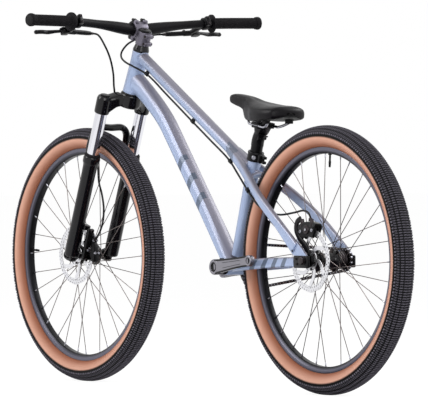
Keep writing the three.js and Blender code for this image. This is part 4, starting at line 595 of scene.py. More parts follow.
def frame_paint():
    """Light blue-grey paint under a clear coat, with a painted shade of warm grey on the surfaces that face
    up, and slanted slate bars.
    """
    made = Surface("frame_paint", colour(160, 176, 208), 0.36, 0.25, 0.3, 0.14, 0.3)
    x, y, z = made.split(made.place())
    fleck = made.noise(1300, 2)
    flow = made.shade(made.noise(9, 2), 0.05)
    # Painted shade: surfaces that face up are blended towards a darker warm grey.
    flow = made.blend(made.upward().step(-0.12, 0.62) * 0.85, flow, colour(122, 115, 124))
    # On the down tube, d is the distance below the head along it, and the bars slant across it
    d = x * 0.62 + z * 0.785
    slanted = d + (x * 0.785 - z * 0.62) * 0.55
    low_tube = x.within(-0.095, 0.16) * (z < 0.74) * (y > 0.004) * (z - x * 1.25 - 0.49 < 0.03) * (z > 0.36)
    bars = (slanted * 15.5).math("FRACT") < 0.32
    wide = d.within(0.335, 0.515)
    mark = low_tube * bars * wide * (z < 0.69)
    # One short bar on the top tube and two on each chainstay
    top = x.within(-0.165, -0.125) * (z > 0.585) * (y.absolute() > 0.006) * (z < 0.68)
    stay = (z < 0.345) * (z > 0.306) * x.within(-0.46, -0.27) * (((x + z * 0.8) * 21).math("FRACT") < 0.42)
    stay = stay * (y.absolute() > 0.045)
    factor = (mark + top * 0.75 + stay).math("MINIMUM", 1.0)
    made.feed("Base Color", made.blend(factor * 0.86, flow, SLATE))
    made.vary_roughness(fleck, 0.05)
    made.bump(fleck, 0.000001)
    return made.material


def tyre_material():
    """Black tread over tan sidewalls: the share of tan follows the attribute of the skin."""
    made = Surface("tyre_rubber", colour(46, 42, 46), 0.8, specular=0.2)
    tan = made.attribute("tan")
    fine = made.noise(700, 3)
    wide = made.noise(16, 3)
    # The block tops are a lighter grey; the valleys between them are painted nearly black, a painted shade.
    block_tops = made.blend(fine, colour(84, 81, 90), colour(122, 118, 130))
    black = made.blend(made.attribute("raised"), colour(2, 2, 3), block_tops)
    outer = made.blend(wide, colour(202, 150, 128), colour(212, 164, 144))
    ring = made.attribute("edge")
    tanned = made.blend(ring, outer, colour(148, 92, 68))
    made.feed("Base Color", made.blend(tan, black, tanned))
    made.feed("Roughness", (fine - 0.5) * 0.1 + tan * -0.16 + 0.82)
    made.bump(fine, 0.00008)
    return made.material


def rim_material():
    made = Surface("rim_alloy", colour(34, 36, 44), 0.32, 0.6, specular=0.2)
    fine = made.noise(700, 2)
    band = made.attribute("band")
    made.feed("Base Color", made.blend(band, colour(22, 22, 25), colour(98, 97, 110)))
    made.vary_roughness(fine, 0.12)
    made.bump(fine, 0.00001)
    return made.material


HOLES = 48


def rotor_material(name, centre):
    """Pale steel drilled by alpha: two staggered rows of holes, by d^2 = (r - r0)^2 + (r w)^2."""
    made = Surface(name, colour(226, 226, 230), 0.3, 0.9)
    x, y, z = made.split(made.place())
    across, upward = x - float(centre[0] * METRE), z - float(centre[2] * METRE)
    radius = (across * across + upward * upward).math("SQRT")
    turn = upward.math("ARCTAN2", across) * (HOLES / (2 * math.pi)) + HOLES
    hole = None
    for row, shift in ((0.0755, 0.0), (0.0685, 0.5)):
        arc = ((turn + shift).math("FRACT") - 0.5) * (2 * math.pi / HOLES) * radius
        off = radius - row
        inside = (arc * arc + off * off).math("SQRT") < 0.0021
        hole = inside if hole is None else hole + inside
    made.feed("Alpha", (hole * -1.0 + 1.0).math("MAXIMUM", 0.0))
    fine = made.noise(420, 3)
    made.vary_roughness(fine, 0.16)
    made.feed("Base Color", made.shade(made.noise(40, 2), 0.05))
    made.bump(fine, 0.00001)
    return made.material


def leather():
    made = Surface("cover_leather", colour(9, 6, 11), 0.38, specular=0.16)
    cells = made.node("ShaderNodeTexVoronoi", {"Vector": made.place(), "Scale": 620})
    grain = made.out(cells, 0)
    made.feed("Base Color", made.shade(made.noise(20, 3), 0.12))
    made.vary_roughness(made.noise(60, 3), 0.14)
    made.bump(grain, 0.00012, 0.6)
    return made.material


PAINT = frame_paint()
FORK_PAINT = plain("fork_paint", colour(7, 5, 9), 0.16, 0.0, 0.0, 1500, 0.000004, 0.05, specular=0.36)
BLACK = plain("black_alloy", colour(15, 14, 17), 0.34, 0.6, 0.0, 1200, 0.00002, shade=0.12, specular=0.4)
MATT_BLACK = plain("black_matt_alloy", colour(17, 16, 19), 0.46, 0.3, 0.0, 1400, 0.00002, specular=0.14)
GREY = plain("grey_alloy", colour(112, 108, 120), 0.4, 0.75, 0.0, 1300, 0.00002)
CRANK_METAL = plain("crank_alloy", colour(136, 134, 142), 0.32, 0.85, 0.0, 1100, 0.00001)
BRIGHT = plain("bright_steel", colour(176, 176, 184), 0.28, 1.0, 0.0, 900, 0.00001)
SPOKE_STEEL = plain("spoke_steel", colour(108, 100, 98), 0.34, 0.9, 0.0, 900, 0.00001, shade=0.25)
DARK_STEEL = plain("dark_steel", colour(58, 53, 55), 0.36, 0.9, 0.0, 900, 0.00002, shade=0.25)
CHROME = plain("stanchion_chrome", colour(226, 226, 232), 0.08, 1.0, 0.0, 300, 0.000002, 0.04, 0.02)
TYRE = tyre_material()
RIM = rim_material()
ROTORS = {"front": rotor_material("rotor_steel", FRONT), "rear": rotor_material("rotor_steel_rear", REAR)}
GRIP = plain("grip_rubber", colour(20, 18, 21), 0.7, 0.0, 0.0, 1600, 0.00005, specular=0.14)
LEATHER = leather()
PLASTIC = plain("shell_plastic", colour(14, 13, 15), 0.5, 0.0, 0.0, 1100, 0.00003, specular=0.15)
HOSE = plain("hose_plastic", colour(12, 12, 14), 0.34, 0.0, 0.0, 900, 0.00001, specular=0.2)


# Wheels
def point_attribute(made, name, values):
    made.data.attributes.new(name, "FLOAT", "POINT").data.foreach_set("value", np.asarray(values, np.float32))


def tyre(prefix, centre):
    """A tyre: section ring (r, y) turned about the axle, raised where the tread's blocks are.

    The outer layer is r = R + s cos a, y = w sin a. A block raises it where the cosine of the row's
    phase and |sin 8 a| of the column pass their levels. The outermost blocks are fewer and taller.
    """
    steps = TREAD_ROWS * 4
    middle = TYRE_RADIUS - TYRE_SECTION
    lip = math.asin((RIM_HALF - 0.9) / (TYRE_HALF_WIDTH - TYRE_WALL))
    depth = TYRE_SECTION - 1.6
    bead = (middle - RIM_FLANGE - 0.3) / math.cos(lip)
    side = np.linspace(math.pi - lip, math.radians(80), 10)
    tread_edge = math.radians(78)
    tread = np.linspace(tread_edge, -tread_edge, 37)
    a = np.concatenate([side, tread, -side[::-1]])
    v = np.arange(steps) / steps * 2 * math.pi
    reach = np.where(np.cos(a) < 0, bead, depth)
    r = middle + np.cos(a) * reach
    y = np.sin(a) * (TYRE_HALF_WIDTH - 0.6)
    share = np.abs(a) / tread_edge
    crown = share < 0.999
    outermost = share > 0.8
    lean = v[:, None] * np.where(outermost, TREAD_ROWS * 3 // 4, TREAD_ROWS)[None] \
        + np.where(outermost, 0, np.abs(a) * 1.5)[None]
    row = np.clip((np.cos(lean) + 0.1) * 3.2, 0, 1)
    column = np.clip((np.abs(np.sin(a * 8.0)) - 0.3) * 4, 0, 1)[None]
    column = np.where((share[None] < 0.12) | (share[None] > 0.84), 1.0, column)
    blocks = row * column * crown[None]
    raised = blocks * np.where(share > 0.84, 3.2, 2.2)[None]
    rr = r[None] + np.cos(a)[None] * raised
    yy = y[None] + np.sin(a)[None] * raised * 0.9
    inner = np.linspace(lip - math.pi, math.pi - lip, 11)
    ri = middle + np.cos(inner) * np.where(np.cos(inner) < 0, bead, TYRE_SECTION - TYRE_WALL)
    yi = np.sin(inner) * (TYRE_HALF_WIDTH - TYRE_WALL)
    rr = np.concatenate([rr, np.broadcast_to(ri, (steps, len(ri)))], 1)
    yy = np.concatenate([yy, np.broadcast_to(yi, (steps, len(yi)))], 1)
    out = np.cos(v)[:, None] * X + np.sin(v)[:, None] * Z
    rings = centre + rr[..., None] * out[:, None] + yy[..., None] * Y
    skin = Skin().grid(rings, closed_rows=True)
    made = piece(prefix + "_tyre_visual", skin, TYRE, prefix + "_wheel", smooth_angle=50)
    at = np.concatenate([np.abs(a), np.full(len(inner), math.pi)])
    tan = np.where(at > math.radians(88), 1.0, 0.0)
    edge = ease((at - math.radians(92)) / math.radians(56))
    # The attribute raised is high on the blocks and 0 in the valleys, which the material paints nearly black
    # as painted shade.
    block_tops = np.concatenate([blocks * np.where(outermost, 1.0, 0.66), np.zeros((steps, len(inner)))], 1)
    point_attribute(made, "raised", block_tops.ravel())
    point_attribute(made, "tan", np.broadcast_to(tan, (steps, len(at))).ravel())
    point_attribute(made, "edge", np.broadcast_to(edge, (steps, len(at))).ravel())


def rim(prefix, centre):
    w, b = RIM_HALF, BED_HALF
    profile = rounded([
        [RIM_FLANGE, w], [RIM_BED, w], [SPOKE_BED, b], [SPOKE_BED, -b], [RIM_BED, -w], [RIM_FLANGE, -w],
        [RIM_FLANGE, -w + 2.2], [SPOKE_BED + 3.4, -b + 2], [SPOKE_BED + 3.4, b - 2], [RIM_FLANGE, w - 2.2],
    ], 1.6)
    skin = lathe(profile, centre, Y, 192)
    made = piece(prefix + "_rim_visual", skin, RIM, prefix + "_wheel")
    band = np.repeat(ease((profile[:, 0] - 271.5) / 4), 192)
    point_attribute(made, "band", band)


def spokes(prefix, centre, left, right, flange_radius):
    """Straight spokes, each three holes over at the rim, with a nipple at its end."""
    step = 2 * math.pi / SPOKES
    for word, place, rim_place, start in (("left", left, 4, 0), ("right", -right, -4, step / 2)):
        skin = Skin()
        nipples = Skin()
        for i in range(SPOKES):
            way = 1 if i % 2 == 0 else -1
            hub_angle = start + step * i
            rim_angle = hub_angle + way * step * 3
            head = place + way * 1.7
            a = centre + (flange_radius - 3) * around(hub_angle) + head * Y
            b = centre + SPOKE_BED * around(rim_angle) + rim_place * Y
            bar(a, b, 1.0, steps=8, edge=0.1, skin=skin)
            back = unit(a - b)
            bar(b + back * 11, b - back * 2, 1.7, 2.1, 10, 0.3, nipples)
            bar(a - Y * way * 2.4, a + Y * way * 1.6, 1.9, steps=10, edge=0.5, skin=skin)
        piece(prefix + "_spokes_" + word + "_visual", skin, SPOKE_STEEL, prefix + "_wheel")
        piece(prefix + "_nipples_" + word, nipples, BRIGHT, prefix + "_wheel")


def rotor(prefix, centre, place):
    """A disc brake rotor: a wavy drilled track on six leaning arms, a ring at the hub and six bolts."""
    skin = Skin()
    at = centre + place * Y
    half = 0.9
    ring_slab(lambda v: 79.2 + 0.8 * np.cos(v * 12), lambda v: 64.4 + 0.9 * np.cos(v * 12),
              -half, half, at, Y, 288, 0.25, skin)
    ring_slab(26.5, 14.0, -half, half, at, Y, 96, 0.25, skin)
    bolts = Skin()
    t = np.linspace(0, 1, 12)[:, None]
    for k in range(6):
        start = k * math.pi / 3
        angle = start + 0.55 * ease(t)
        arm(at + mix(24, 66.5, t) * (np.cos(angle) * X + np.sin(angle) * Z), 5.0, half, skin)
        bolt(at + half * Y + 22 * around(start + 0.35), Y, 3.4, 2.2, bolts)
    piece(prefix + "_rotor_visual", skin, ROTORS[prefix], prefix + "_wheel", smooth_angle=30)
    piece(prefix + "_rotor_bolts", bolts, DARK_STEEL, prefix + "_wheel")


def arm(path, half_width, half_thickness, skin):
    """A flat arm along a path in a plane square to Y."""
    tangent = unit(np.gradient(path, axis=0))
    across = np.cross(tangent, Y)
    corners = [(-1, -1), (1, -1), (1, 1), (-1, 1)]
    rings = np.stack([path + across * half_width * c + Y * half_thickness * s for c, s in corners], 1)
    return skin.grid(rings)


def hubs():
    front = rounded([
        [7.8, 50], [10.5, 50], [10.5, 36], [20.5, 35], [21, 29], [28, 27.6], [28, 24.4], [24, 23], [15.5, 17],
        [14.2, 0], [15.5, -17], [24, -23], [28, -24.4], [28, -27.6], [21, -29], [13, -34], [10.5, -40],
        [10.5, -50], [7.8, -50],
    ], 1.2)
    piece("front_hub_visual", lathe(front, FRONT, Y, 72), FORK_PAINT, "front_wheel", slot="black_alloy")
    rear = rounded([
        [5.3, 67], [10, 67], [10, 51], [20.5, 50], [21, 37], [29, 34.6], [29, 31.4], [24, 29], [18, 22],
        [17, 6], [18, -12], [24, -18], [29, -20.4], [29, -23.6], [19, -25], [17, -26.7], [5.3, -26.7],
    ], 1.2)
    piece("rear_hub_visual", lathe(rear, REAR, Y, 72), FORK_PAINT, "rear_wheel", slot="black_alloy")


def valve(prefix, centre, angle):
    """A thin valve stem from the rim towards the axle, with a cap."""
    way = around(angle)
    at = centre + way * SPOKE_BED
    skin = bar(at + way * 2, at - way * 20, 2.6, steps=20)
    bar(at - way * 19, at - way * 34, 3.4, 2.6, 20, 0.8, skin)
    bar(at - way * 0.4, at - way * 3, 5, steps=6, skin=skin)
    piece(prefix + "_valve", skin, MATT_BLACK, prefix + "_wheel")


for word, middle in (("front", FRONT), ("rear", REAR)):
    tyre(word, middle)
    rim(word, middle)
spokes("front", FRONT, 26, 26, 28)
spokes("rear", REAR, 33, 22, 29)
rotor("front", FRONT, 36)
rotor("rear", REAR, 51)
hubs()
valve("rear", REAR, math.radians(93))
valve("front", FRONT, math.radians(2))


# Drive
def pitch_radius(teeth):
    return CHAIN_PITCH / (2 * math.sin(math.pi / teeth))


def tooth_edge(teeth, lead=math.pi / 2):
    """The radius of a toothed wheel by angle: pitch radius + 2.4 on a tooth's tip, - 3.1 in its valley."""
    base = pitch_radius(teeth)

    def radius(v):
        phase = np.cos((v - lead) * teeth)
        return base - 3.1 + 5.6 * ease((phase + 0.62) / 1.25)

    return radius


def sprockets():
    at = CRANK - CHAIN_LINE * Y
    inner = pitch_radius(RING_TEETH) - 12.2
    skin = Skin()
    # Angles about -Y run the other way, so a tooth straight up stays straight up
    ring_slab(tooth_edge(RING_TEETH, angle_up(-Y)), inner, -1.6, 1.6, at, -Y, 560, 0.5, skin)
    ring_slab(20, 12.4, -2.2, 2.2, at, -Y, 72, 0.5, skin)
    outline = rounded_corners([[10, -9], [inner * 0.62, -5.5], [inner + 4, -8], [inner + 4, 8],
                               [inner * 0.62, 5.5], [10, 9]], 4)
    bolts = Skin()
    for k in range(4):
        way = around(k * math.pi / 2 + math.pi / 4)
        slab(outline, -1.5, 1.5, at, way, np.cross(-Y, way), 0.5, skin)
        bolt(at - 1.4 * Y + (inner - 1) * way, -Y, 4.4, 2.4, bolts)
    piece("chainring_visual", skin, BLACK, "crank")
    piece("chainring_bolts", bolts, BRIGHT, "crank")

    at = REAR - CHAIN_LINE * Y
    skin = Skin()
    ring_slab(tooth_edge(COG_TEETH, angle_up(-Y)), 16, -1.6, 1.6, at, -Y, 390, 0.5, skin)
    spacers = rounded([[5.3, 27], [22, 27], [22, 33], [20.8, 33.4], [20.8, 34.2], [22, 34.6], [22, 41],
                       [20.8, 41.4], [20.8, 42.2], [22, 42.6], [22, 49], [21, 52.6], [17, 53.5], [17, 61],
                       [13, 62.5], [10, 63], [10, 67.4], [5.3, 67.4]], 0.7)
    lathe(spacers, REAR, -Y, 60, skin)
    piece("rear_cog_visual", skin, DARK_STEEL, "cog")


def angle_up(axis):
    """The angle of +Z in the basis that ring_slab uses about this axis."""
    one, two = basis(axis)
    return math.atan2(two[2], one[2])


def chain_line_points(count):
    """Points at even steps along the chain's loop: arcs on both pitch circles and their outer tangents."""
    big, small = pitch_radius(RING_TEETH), pitch_radius(COG_TEETH)
    span = REAR - CRANK
    distance = math.hypot(span[0], span[2])
    heading = math.atan2(span[2], span[0])
    lean = math.asin((big - small) / distance)

    def arc(centre, radius, start, end, count):
        u = np.linspace(start, end, count)[:, None]
        return centre + radius * (np.cos(u) * X + np.sin(u) * Z)

    quarter = math.pi / 2
    loop = np.concatenate([arc(CRANK, big, heading + quarter - lean, heading + quarter * 3 + lean, 90),
                           arc(REAR, small, heading - quarter + lean, heading + quarter - lean, 60)])
    loop = np.concatenate([loop, loop[:1]]) - CHAIN_LINE * Y
    return even(loop, count + 1)[:-1]


def chain():
    """Links of two waisted plates in turn inside and outside, with a roller and a pin at each joint."""
    links = 82
    joints = chain_line_points(links)
    plates, rollers = Skin(), Skin()
    u = np.linspace(0, 2 * math.pi, 20, endpoint=False)
    for k in range(links):
        a, b = joints[k], joints[(k + 1) % links]
        way = unit(b - a)
        across = np.cross(Y, way)
        half = np.linalg.norm(b - a) / 2
        stretch = np.cos(u) * (half + 4.0)
        waist = np.sin(u) * (4.2 - 1.1 * np.cos(stretch / (half + 4.0) * math.pi / 2) ** 6)
        outline = np.stack([stretch, waist], -1)
        inside = k % 2 == 0
        for side in (-1, 1):
            low = (1.6 if inside else 2.75) * side
            high = (2.65 if inside else 3.8) * side
            slab(outline, min(low, high), max(low, high), (a + b) / 2, way, across, 0.18, plates)
        bar(a - 2.4 * Y, a + 2.4 * Y, 3.85, steps=14, edge=0.2, skin=rollers)
        bar(a - 4.3 * Y, a + 4.3 * Y, 1.8, steps=10, edge=0.2, skin=rollers)
    piece("chain_plates", plates, DARK_STEEL, "frame", nodes=["chain"])
    piece("chain_rollers", rollers, BRIGHT, "frame")


def crank_outline(t):
    """Half width and outer face of a crank's arm at shares of its length."""
    bulge = np.sin(t * math.pi)
    return mix(17.0, 12.6, ease(t * 1.1)) - 0.9 * bulge, mix(71.5, 86.3, t) + 1.2 * bulge


def crank_arm(side, boss_inner):
    """A crank's arm of superellipse sections from boss to eye, the rings at its ends, and the eye's bore."""
    way = vec(-math.cos(CRANK_ANGLE), 0, math.sin(CRANK_ANGLE)) * side
    across = np.cross(Y, way)
    t = np.linspace(0, 1, 40)
    low = mix(boss_inner + 3, 75.0, t)
    half, high = crank_outline(t)
    centre = CRANK + way * (t * CRANK_LENGTH)[:, None] + Y * (side * (low + high) / 2)[:, None]
    arm_skin = sections(centre, Y, (high - low) / 2, across, half, oval(44, 0.42))
    eye = CRANK + way * CRANK_LENGTH
    boss = rounded([[12.4, boss_inner], [20, boss_inner], [20, 71], [18.5, 73], [12.4, 73]], 1.2)
    ends = Skin()
    lathe(boss, CRANK, Y * side, 72, ends)
    tip = rounded([[8.2, 74.8], [14, 74.8], [14, 85.6], [12.8, 87], [8.2, 87]], 0.9)
    lathe(tip, eye, Y * side, 56, ends)
    bores = Skin()
    lathe(rounded([[7, 76], [8.6, 76], [8.6, 86.4], [7, 86.4]], 0.3), eye, Y * side, 48, bores)
    return arm_skin, ends, bores, way, across


def cranks():
    for word, side, inner in (("left", 1, 48.5), ("right", -1, 57.0)):
        arm_skin, ends, bores, way, across = crank_arm(side, inner)
        node = "crank_" + word
        normal = Y * side
        piece(node + "_arm", arm_skin, CRANK_METAL, "crank", nodes=[node])
        piece(node + "_ends", ends, CRANK_METAL, "crank")
        piece(node + "_bore", bores, BLACK, "crank")
        trim = Skin()
        t = np.linspace(0.03, 0.97, 40)
        for edge in (1, -1):
            half, high = crank_outline(t)
            path = CRANK + way * (t * CRANK_LENGTH)[:, None] + normal * (high - 0.9)[:, None] \
                + across * (edge * (half - 1.0))[:, None]
            sweep(path, 2.3, 2.0, 12, reference=normal, skin=trim)
        piece(node + "_edges", trim, BLACK, "crank")
        panel = Skin()
        for edge in (1, -1):
            a = CRANK + way * 46 + normal * 76.4 + across * edge * 6.6
            b = CRANK + way * 132 + normal * 84.6 + across * edge * 4.8
            path = line(a, b, 12) + normal * 0.55
            sweep(path, 0.55, 0.7, 8, reference=normal, skin=panel)
        piece(node + "_grooves", panel, BLACK, "crank")
        cap = rounded([[0, 0], [11.6, 0], [11.6, 2.4], [9, 3.2], [8, 1.2], [0, 1.0]], 0.5)
        bolts = lathe(cap, CRANK + normal * 70.2, normal, 48)
        for out, over in ((17, 18.2), (26, 17.6)):
            bolt(CRANK + way * out + normal * 60 + across * over, across, 3.0, 2.6, bolts)
        piece(node + "_bolts", bolts, BLACK, "crank")
    spindle = bar(CRANK - 58 * Y, CRANK + 70 * Y, 12, steps=48)
    piece("crank_spindle", spindle, DARK_STEEL, "crank")


sprockets()
chain()
cranks()
cups = Skin()
cup_profile = rounded([[12.3, 36.8], [20, 36.8], [20, 41], [19, 43], [19, 46.3], [12.3, 46.3]], 0.8)
for side in (1, -1):
    lathe(cup_profile, CRANK, Y * side, 60, cups)
piece("bottom_bracket_cups", cups, BLACK, "frame", nodes=["bottom_bracket"])


# Frame tubes
def weld(points, normal_radius, skin, ripples):
    """A bead along a closed line: a small tube whose radius swells once for each ripple."""
    count = len(points)
    size = normal_radius * (1 + 0.16 * np.cos(np.arange(count) / count * 2 * math.pi * ripples))
    tangent = unit(np.roll(points, -1, 0) - np.roll(points, 1, 0))
    middle = points.mean(0)
    side = unit(points - middle)
    side = unit(side - tangent * np.einsum("ij,ij->i", side, tangent)[:, None])
    up = np.cross(tangent, side)
    c, s = oval(8)
    rings = points[:, None] + side[:, None] * size[:, None, None] * c[None, :, None] \
        + up[:, None] * size[:, None, None] * s[None, :, None]
    return skin.grid(rings, closed_rows=True)


def meeting(start, way, half_side, half_up, target, target_way, target_radius, side, up, count=240, sign=-1):
    """Where a tube's skin meets a round tube: for each angle, t with |cross(P + t W - Q, A)| = R."""
    u = np.arange(count) / count * 2 * math.pi
    p = start + side * (half_side * np.cos(u))[:, None] + up * (half_up * np.sin(u))[:, None]
    w = unit(way)
    a = unit(target_way)
    d = p - target
    d = d - a * (d @ a)[:, None]
    f = w - a * (w @ a)
    qa, qb, qc = f @ f, 2 * d @ f, np.einsum("ij,ij->i", d, d) - target_radius ** 2
    root = np.sqrt(np.maximum(qb * qb - 4 * qa * qc, 0))
    t = (-qb + sign * root) / (2 * qa)
    return p + w * t[:, None]


def head_tube():
    profile = rounded([[17.5, 478], [25, 478], [25, 484], [24.5, 489], [22.4, 540], [21.4, 566], [21.3, 593],
                       [17.5, 593]], 0.9)
    piece("head_tube_visual", lathe(profile, STEER_ORIGIN, STEER_UP, 96), PAINT, "frame")


def top_tube():
    path = line(TOP_START, TOP_END, 60)
    t = np.linspace(0, 1, 60)
    wide = TOP_RADIUS + 0.3 * np.sin(t * math.pi)
    piece("top_tube_visual", sweep(path, wide, wide, 56, 0.97, Z), PAINT, "frame")


def down_tube_path(count):
    """A Bezier curve off the head tube, then a straight line to the crank's centre."""
    top = steer(478 + 35)
    back = vec(-math.cos(math.radians(32)), 0, -math.sin(math.radians(32)))
    elbow = top + back * 135
    foot = CRANK + X * 10
    down = unit(foot - elbow)
    end = elbow + down * 80
    t = np.linspace(0, 1, 60)[:, None]
    curve = (1 - t) ** 2 * top + 2 * t * (1 - t) * elbow + t * t * end
    return even(np.concatenate([curve, line(end, foot, 60)[1:]]), count)


def down_tube():
    """Sections that are taller at the head and wider at the foot, with a soft ridge on each upper side."""
    count = 110
    path = down_tube_path(count)
    t = np.linspace(0, 1, count)
    wide = mix(mix(20.5, 22, ease(t * 3)), 26, ease(t * 3 - 2))
    tall = mix(mix(27, 22, ease(t * 3)), 21, ease(t * 3 - 2))
    side, up = frames(path, Z)[1:]
    u = (np.arange(72) + 0.5) / 72 * 2 * math.pi
    c, s = np.cos(u), np.sin(u)

    def swell(angles, width):
        """Soft swellings of this width at the angles."""
        return sum(np.exp(-((np.angle(np.exp(1j * (u - at)))) / width) ** 2) for at in angles)

    crease = swell((math.radians(52), math.radians(128)), 0.16)
    flat = swell((0.12, math.pi - 0.12, math.pi / 2), 0.42)
    held = (ease(t * 4 - 0.35) * ease((1 - t) * 4))[:, None]
    factor = 1 + held * (0.075 * crease - 0.035 * flat)[None]
    across = wide[:, None] * factor * np.sign(c) * np.abs(c) ** 0.93
    along_up = tall[:, None] * factor * np.sign(s) * np.abs(s) ** 0.93
    rings = path[:, None] + side[:, None] * across[..., None] + up[:, None] * along_up[..., None]
    piece("down_tube_visual", Skin().grid(rings), PAINT, "frame", smooth_angle=60)


def seat_tube():
    skin = lathe(rounded([[15.75, 30], [17.45, 30], [17.45, 306], [15.75, 306]], 0.5), CRANK, SEAT_UP, 64)
    piece("seat_tube_visual", skin, PAINT, "frame")
    skin = lathe(rounded([[17, -36.5], [20.5, -36.5], [20.5, 36.5], [17, 36.5]], 0.8), CRANK, Y, 72)
    piece("bottom_bracket_shell_visual", skin, PAINT, "frame")


def seatstay_path(count):
    def along(ahead, left):
        return TOP_END - TOP_WAY * ahead + Y * left

    def from_axle(ahead, up, left):
        return REAR + vec(ahead, left, up)

    return smooth_path([along(98, 11), along(34, 20), along(-22, 33), from_axle(199, 150, 59.5),
                        from_axle(110, 90, 70), from_axle(36, 30, 71.5)], count)


def seatstays():
    """Box-like stays from both sides of the top tube to the dropouts, and the flat plate at each end."""
    path = seatstay_path(90)
    t = np.linspace(0, 1, 90)
    wide = 8.5 * mix(1, 0.82, ease(t * 2 - 1))
    tall = 12.5 * mix(0.86, 1, ease(t * 6)) + 3.5 * ease(t * 4 - 3)
    stay = sweep(path, wide, tall, 44, 0.62, Z)
    plate = rounded_corners([[-14, 10.5], [33, 10.5], [45, 14], [70, 36], [52, 56], [28, 46], [2, 26]], 8)
    plate_skin = slab(plate, -6.0, 0.0, DROPOUT, X, Z, 1.0)
    for (word, made), (_, end) in zip(stay.pair(), plate_skin.pair()):
        piece("seatstay_" + word + "_visual", made, PAINT, "frame")
        piece("stay_plate_" + word, end, PAINT, "frame")
    # Black discs stand for the plates' holes as painted shade; no hole is cut in the plate.
    hole_shade_discs = Skin()
    for side in (1, -1):
        at = REAR + vec(41, side * 78.3, 24)
        bar(at - Y * side * 0.5, at + Y * side * 0.35, 3.0, steps=24, edge=0.1, skin=hole_shade_discs)
    piece("stay_plate_holes", hole_shade_discs, MATT_BLACK, "frame")


def chainstays():
    def at(ahead, left, drop):
        return REAR + vec(ahead, left, -drop)

    path = smooth_path([at(360, 31, 20), at(325, 43.4, 18), at(180, 51.5, 9), at(40.3, 68.5, 4)], 80)
    t = np.linspace(0, 1, 80)
    for word, stay in sweep(path, 6.6, mix(14.0, 12.4, ease(t)), 44, 0.55, Z).pair():
        piece("chainstay_" + word + "_visual", stay, PAINT, "frame")


def dropouts():
    """A thick black plate with rounded corners on each side, with two screws and a disc at the axle."""
    outline = rounded_corners([[-20, -19], [40, -19], [40, 12], [-20, 12]], 5)
    for word, made in slab(outline, -7.0, 0.0, DROPOUT, X, Z, 1.0).pair():
        piece("dropout_" + word + "_visual", made, BLACK, "frame")
    screws = Skin()
    recess = rounded([[0, 0], [9.5, 0], [9.5, 0.5], [0, 0.5]], 0.2)
    for side in (1, -1):
        for ahead, up in ((27, -9), (29, 4)):
            bolt(REAR + vec(ahead, side * 74.8, up), Y * side, 3.2, 1.8, screws)
        lathe(recess, REAR + Y * side * 74.6, Y * side, 40, screws)
    piece("dropout_screws", screws, DARK_STEEL, "frame")


def welds():
    skin = Skin()
    side, up = frames(line(TOP_START, TOP_END, 3), Z)[1:]
    start, end = TOP_START + TOP_WAY * 60, TOP_END - TOP_WAY * 60
    head = meeting(start, TOP_WAY, TOP_RADIUS, TOP_RADIUS, STEER_ORIGIN, STEER_UP, 21.4,
                   side[0], up[0], sign=1)
    weld(head, 2.0, skin, 34)
    seat_line = meeting(end, TOP_WAY, 16.2, TOP_RADIUS, CRANK, SEAT_UP, SEAT_RADIUS, side[0], up[0])
    weld(seat_line, 2.0, skin, 34)
    path = down_tube_path(110)
    way = unit(path[4] - path[0])
    side, up = frames(path, Z)[1:]
    low = meeting(path[12], way, 19.6, 24.4, STEER_ORIGIN, STEER_UP, 24.0, side[3], up[3], sign=1)
    weld(low, 2.2, skin, 44)
    foot = unit(path[-1] - path[-6])
    bottom = meeting(path[-14], foot, 25.4, 20.6, CRANK, Y, SHELL_RADIUS, side[-1], up[-1])
    weld(bottom, 2.2, skin, 44)
    one, two = basis(SEAT_UP)
    seat_foot = meeting(seat(60), -SEAT_UP, SEAT_RADIUS, SEAT_RADIUS, CRANK, Y, SHELL_RADIUS, one, two)
    weld(seat_foot, 2.0, skin, 36)
    piece("weld_beads", skin, PAINT, "frame")
    bridge = Skin()
    high = [(-256, -40, 538), (-252, -20, 548), (-250, 0, 551), (-252, 20, 548), (-256, 40, 538)]
    sweep(smooth_path(high, 30), 8, 7, 24, 0.8, Z, bridge)
    sweep(line(seat(255, -10), vec(-252, 0, 551), 8), 9, 8, 24, 0.8, Y, bridge)
    low = smooth_path([(-196, -45, 320), (-192, 0, 322), (-196, 45, 320)], 20)
    sweep(low, 8, 11, 24, 0.7, Z, bridge)
    piece("stay_bridges", bridge, PAINT, "frame")


head_tube()
top_tube()
down_tube()
seat_tube()
seatstays()
chainstays()
dropouts()
welds()


# Seat
def seat_collar():
    band = rounded([[17.75, 283], [20.3, 283], [21.2, 286], [20.4, 290], [20.4, 300], [21.2, 304],
                    [20.3, 307], [17.75, 307]], 0.8)
    skin = lathe(band, CRANK, SEAT_UP, 64)
    ear = rounded_corners([[-33, 284], [-17, 284], [-17, 306], [-33, 306]], 4)
    for low, high in ((0.9, 6.5), (-6.5, -0.9)):
        slab(ear, low, high, CRANK, SEAT_AHEAD, SEAT_UP, 0.8, skin)
    slab(oblong(5, 9, 3), -9.8, -6.0, seat(295, -26), SEAT_AHEAD, SEAT_UP, 0.8, skin)
    for up in (289, 301.5):
        slab(oblong(7, 3.6, 2.4), -4.6, 4.6, seat(up, -37), SEAT_AHEAD, SEAT_UP, 0.9, skin)
    piece("seat_collar_visual", skin, BLACK, "frame")
    bolts = bolt(seat(295, -13.8, 14.4), Y * 0.72 - SEAT_AHEAD * 0.69, 5.2, 2.8)
    for up in (300, 290):
        bolt(seat(up, -26, 6.4), Y, 3.2, 3.0, bolts)
    piece("seat_collar_bolts", bolts, BRIGHT, "frame")


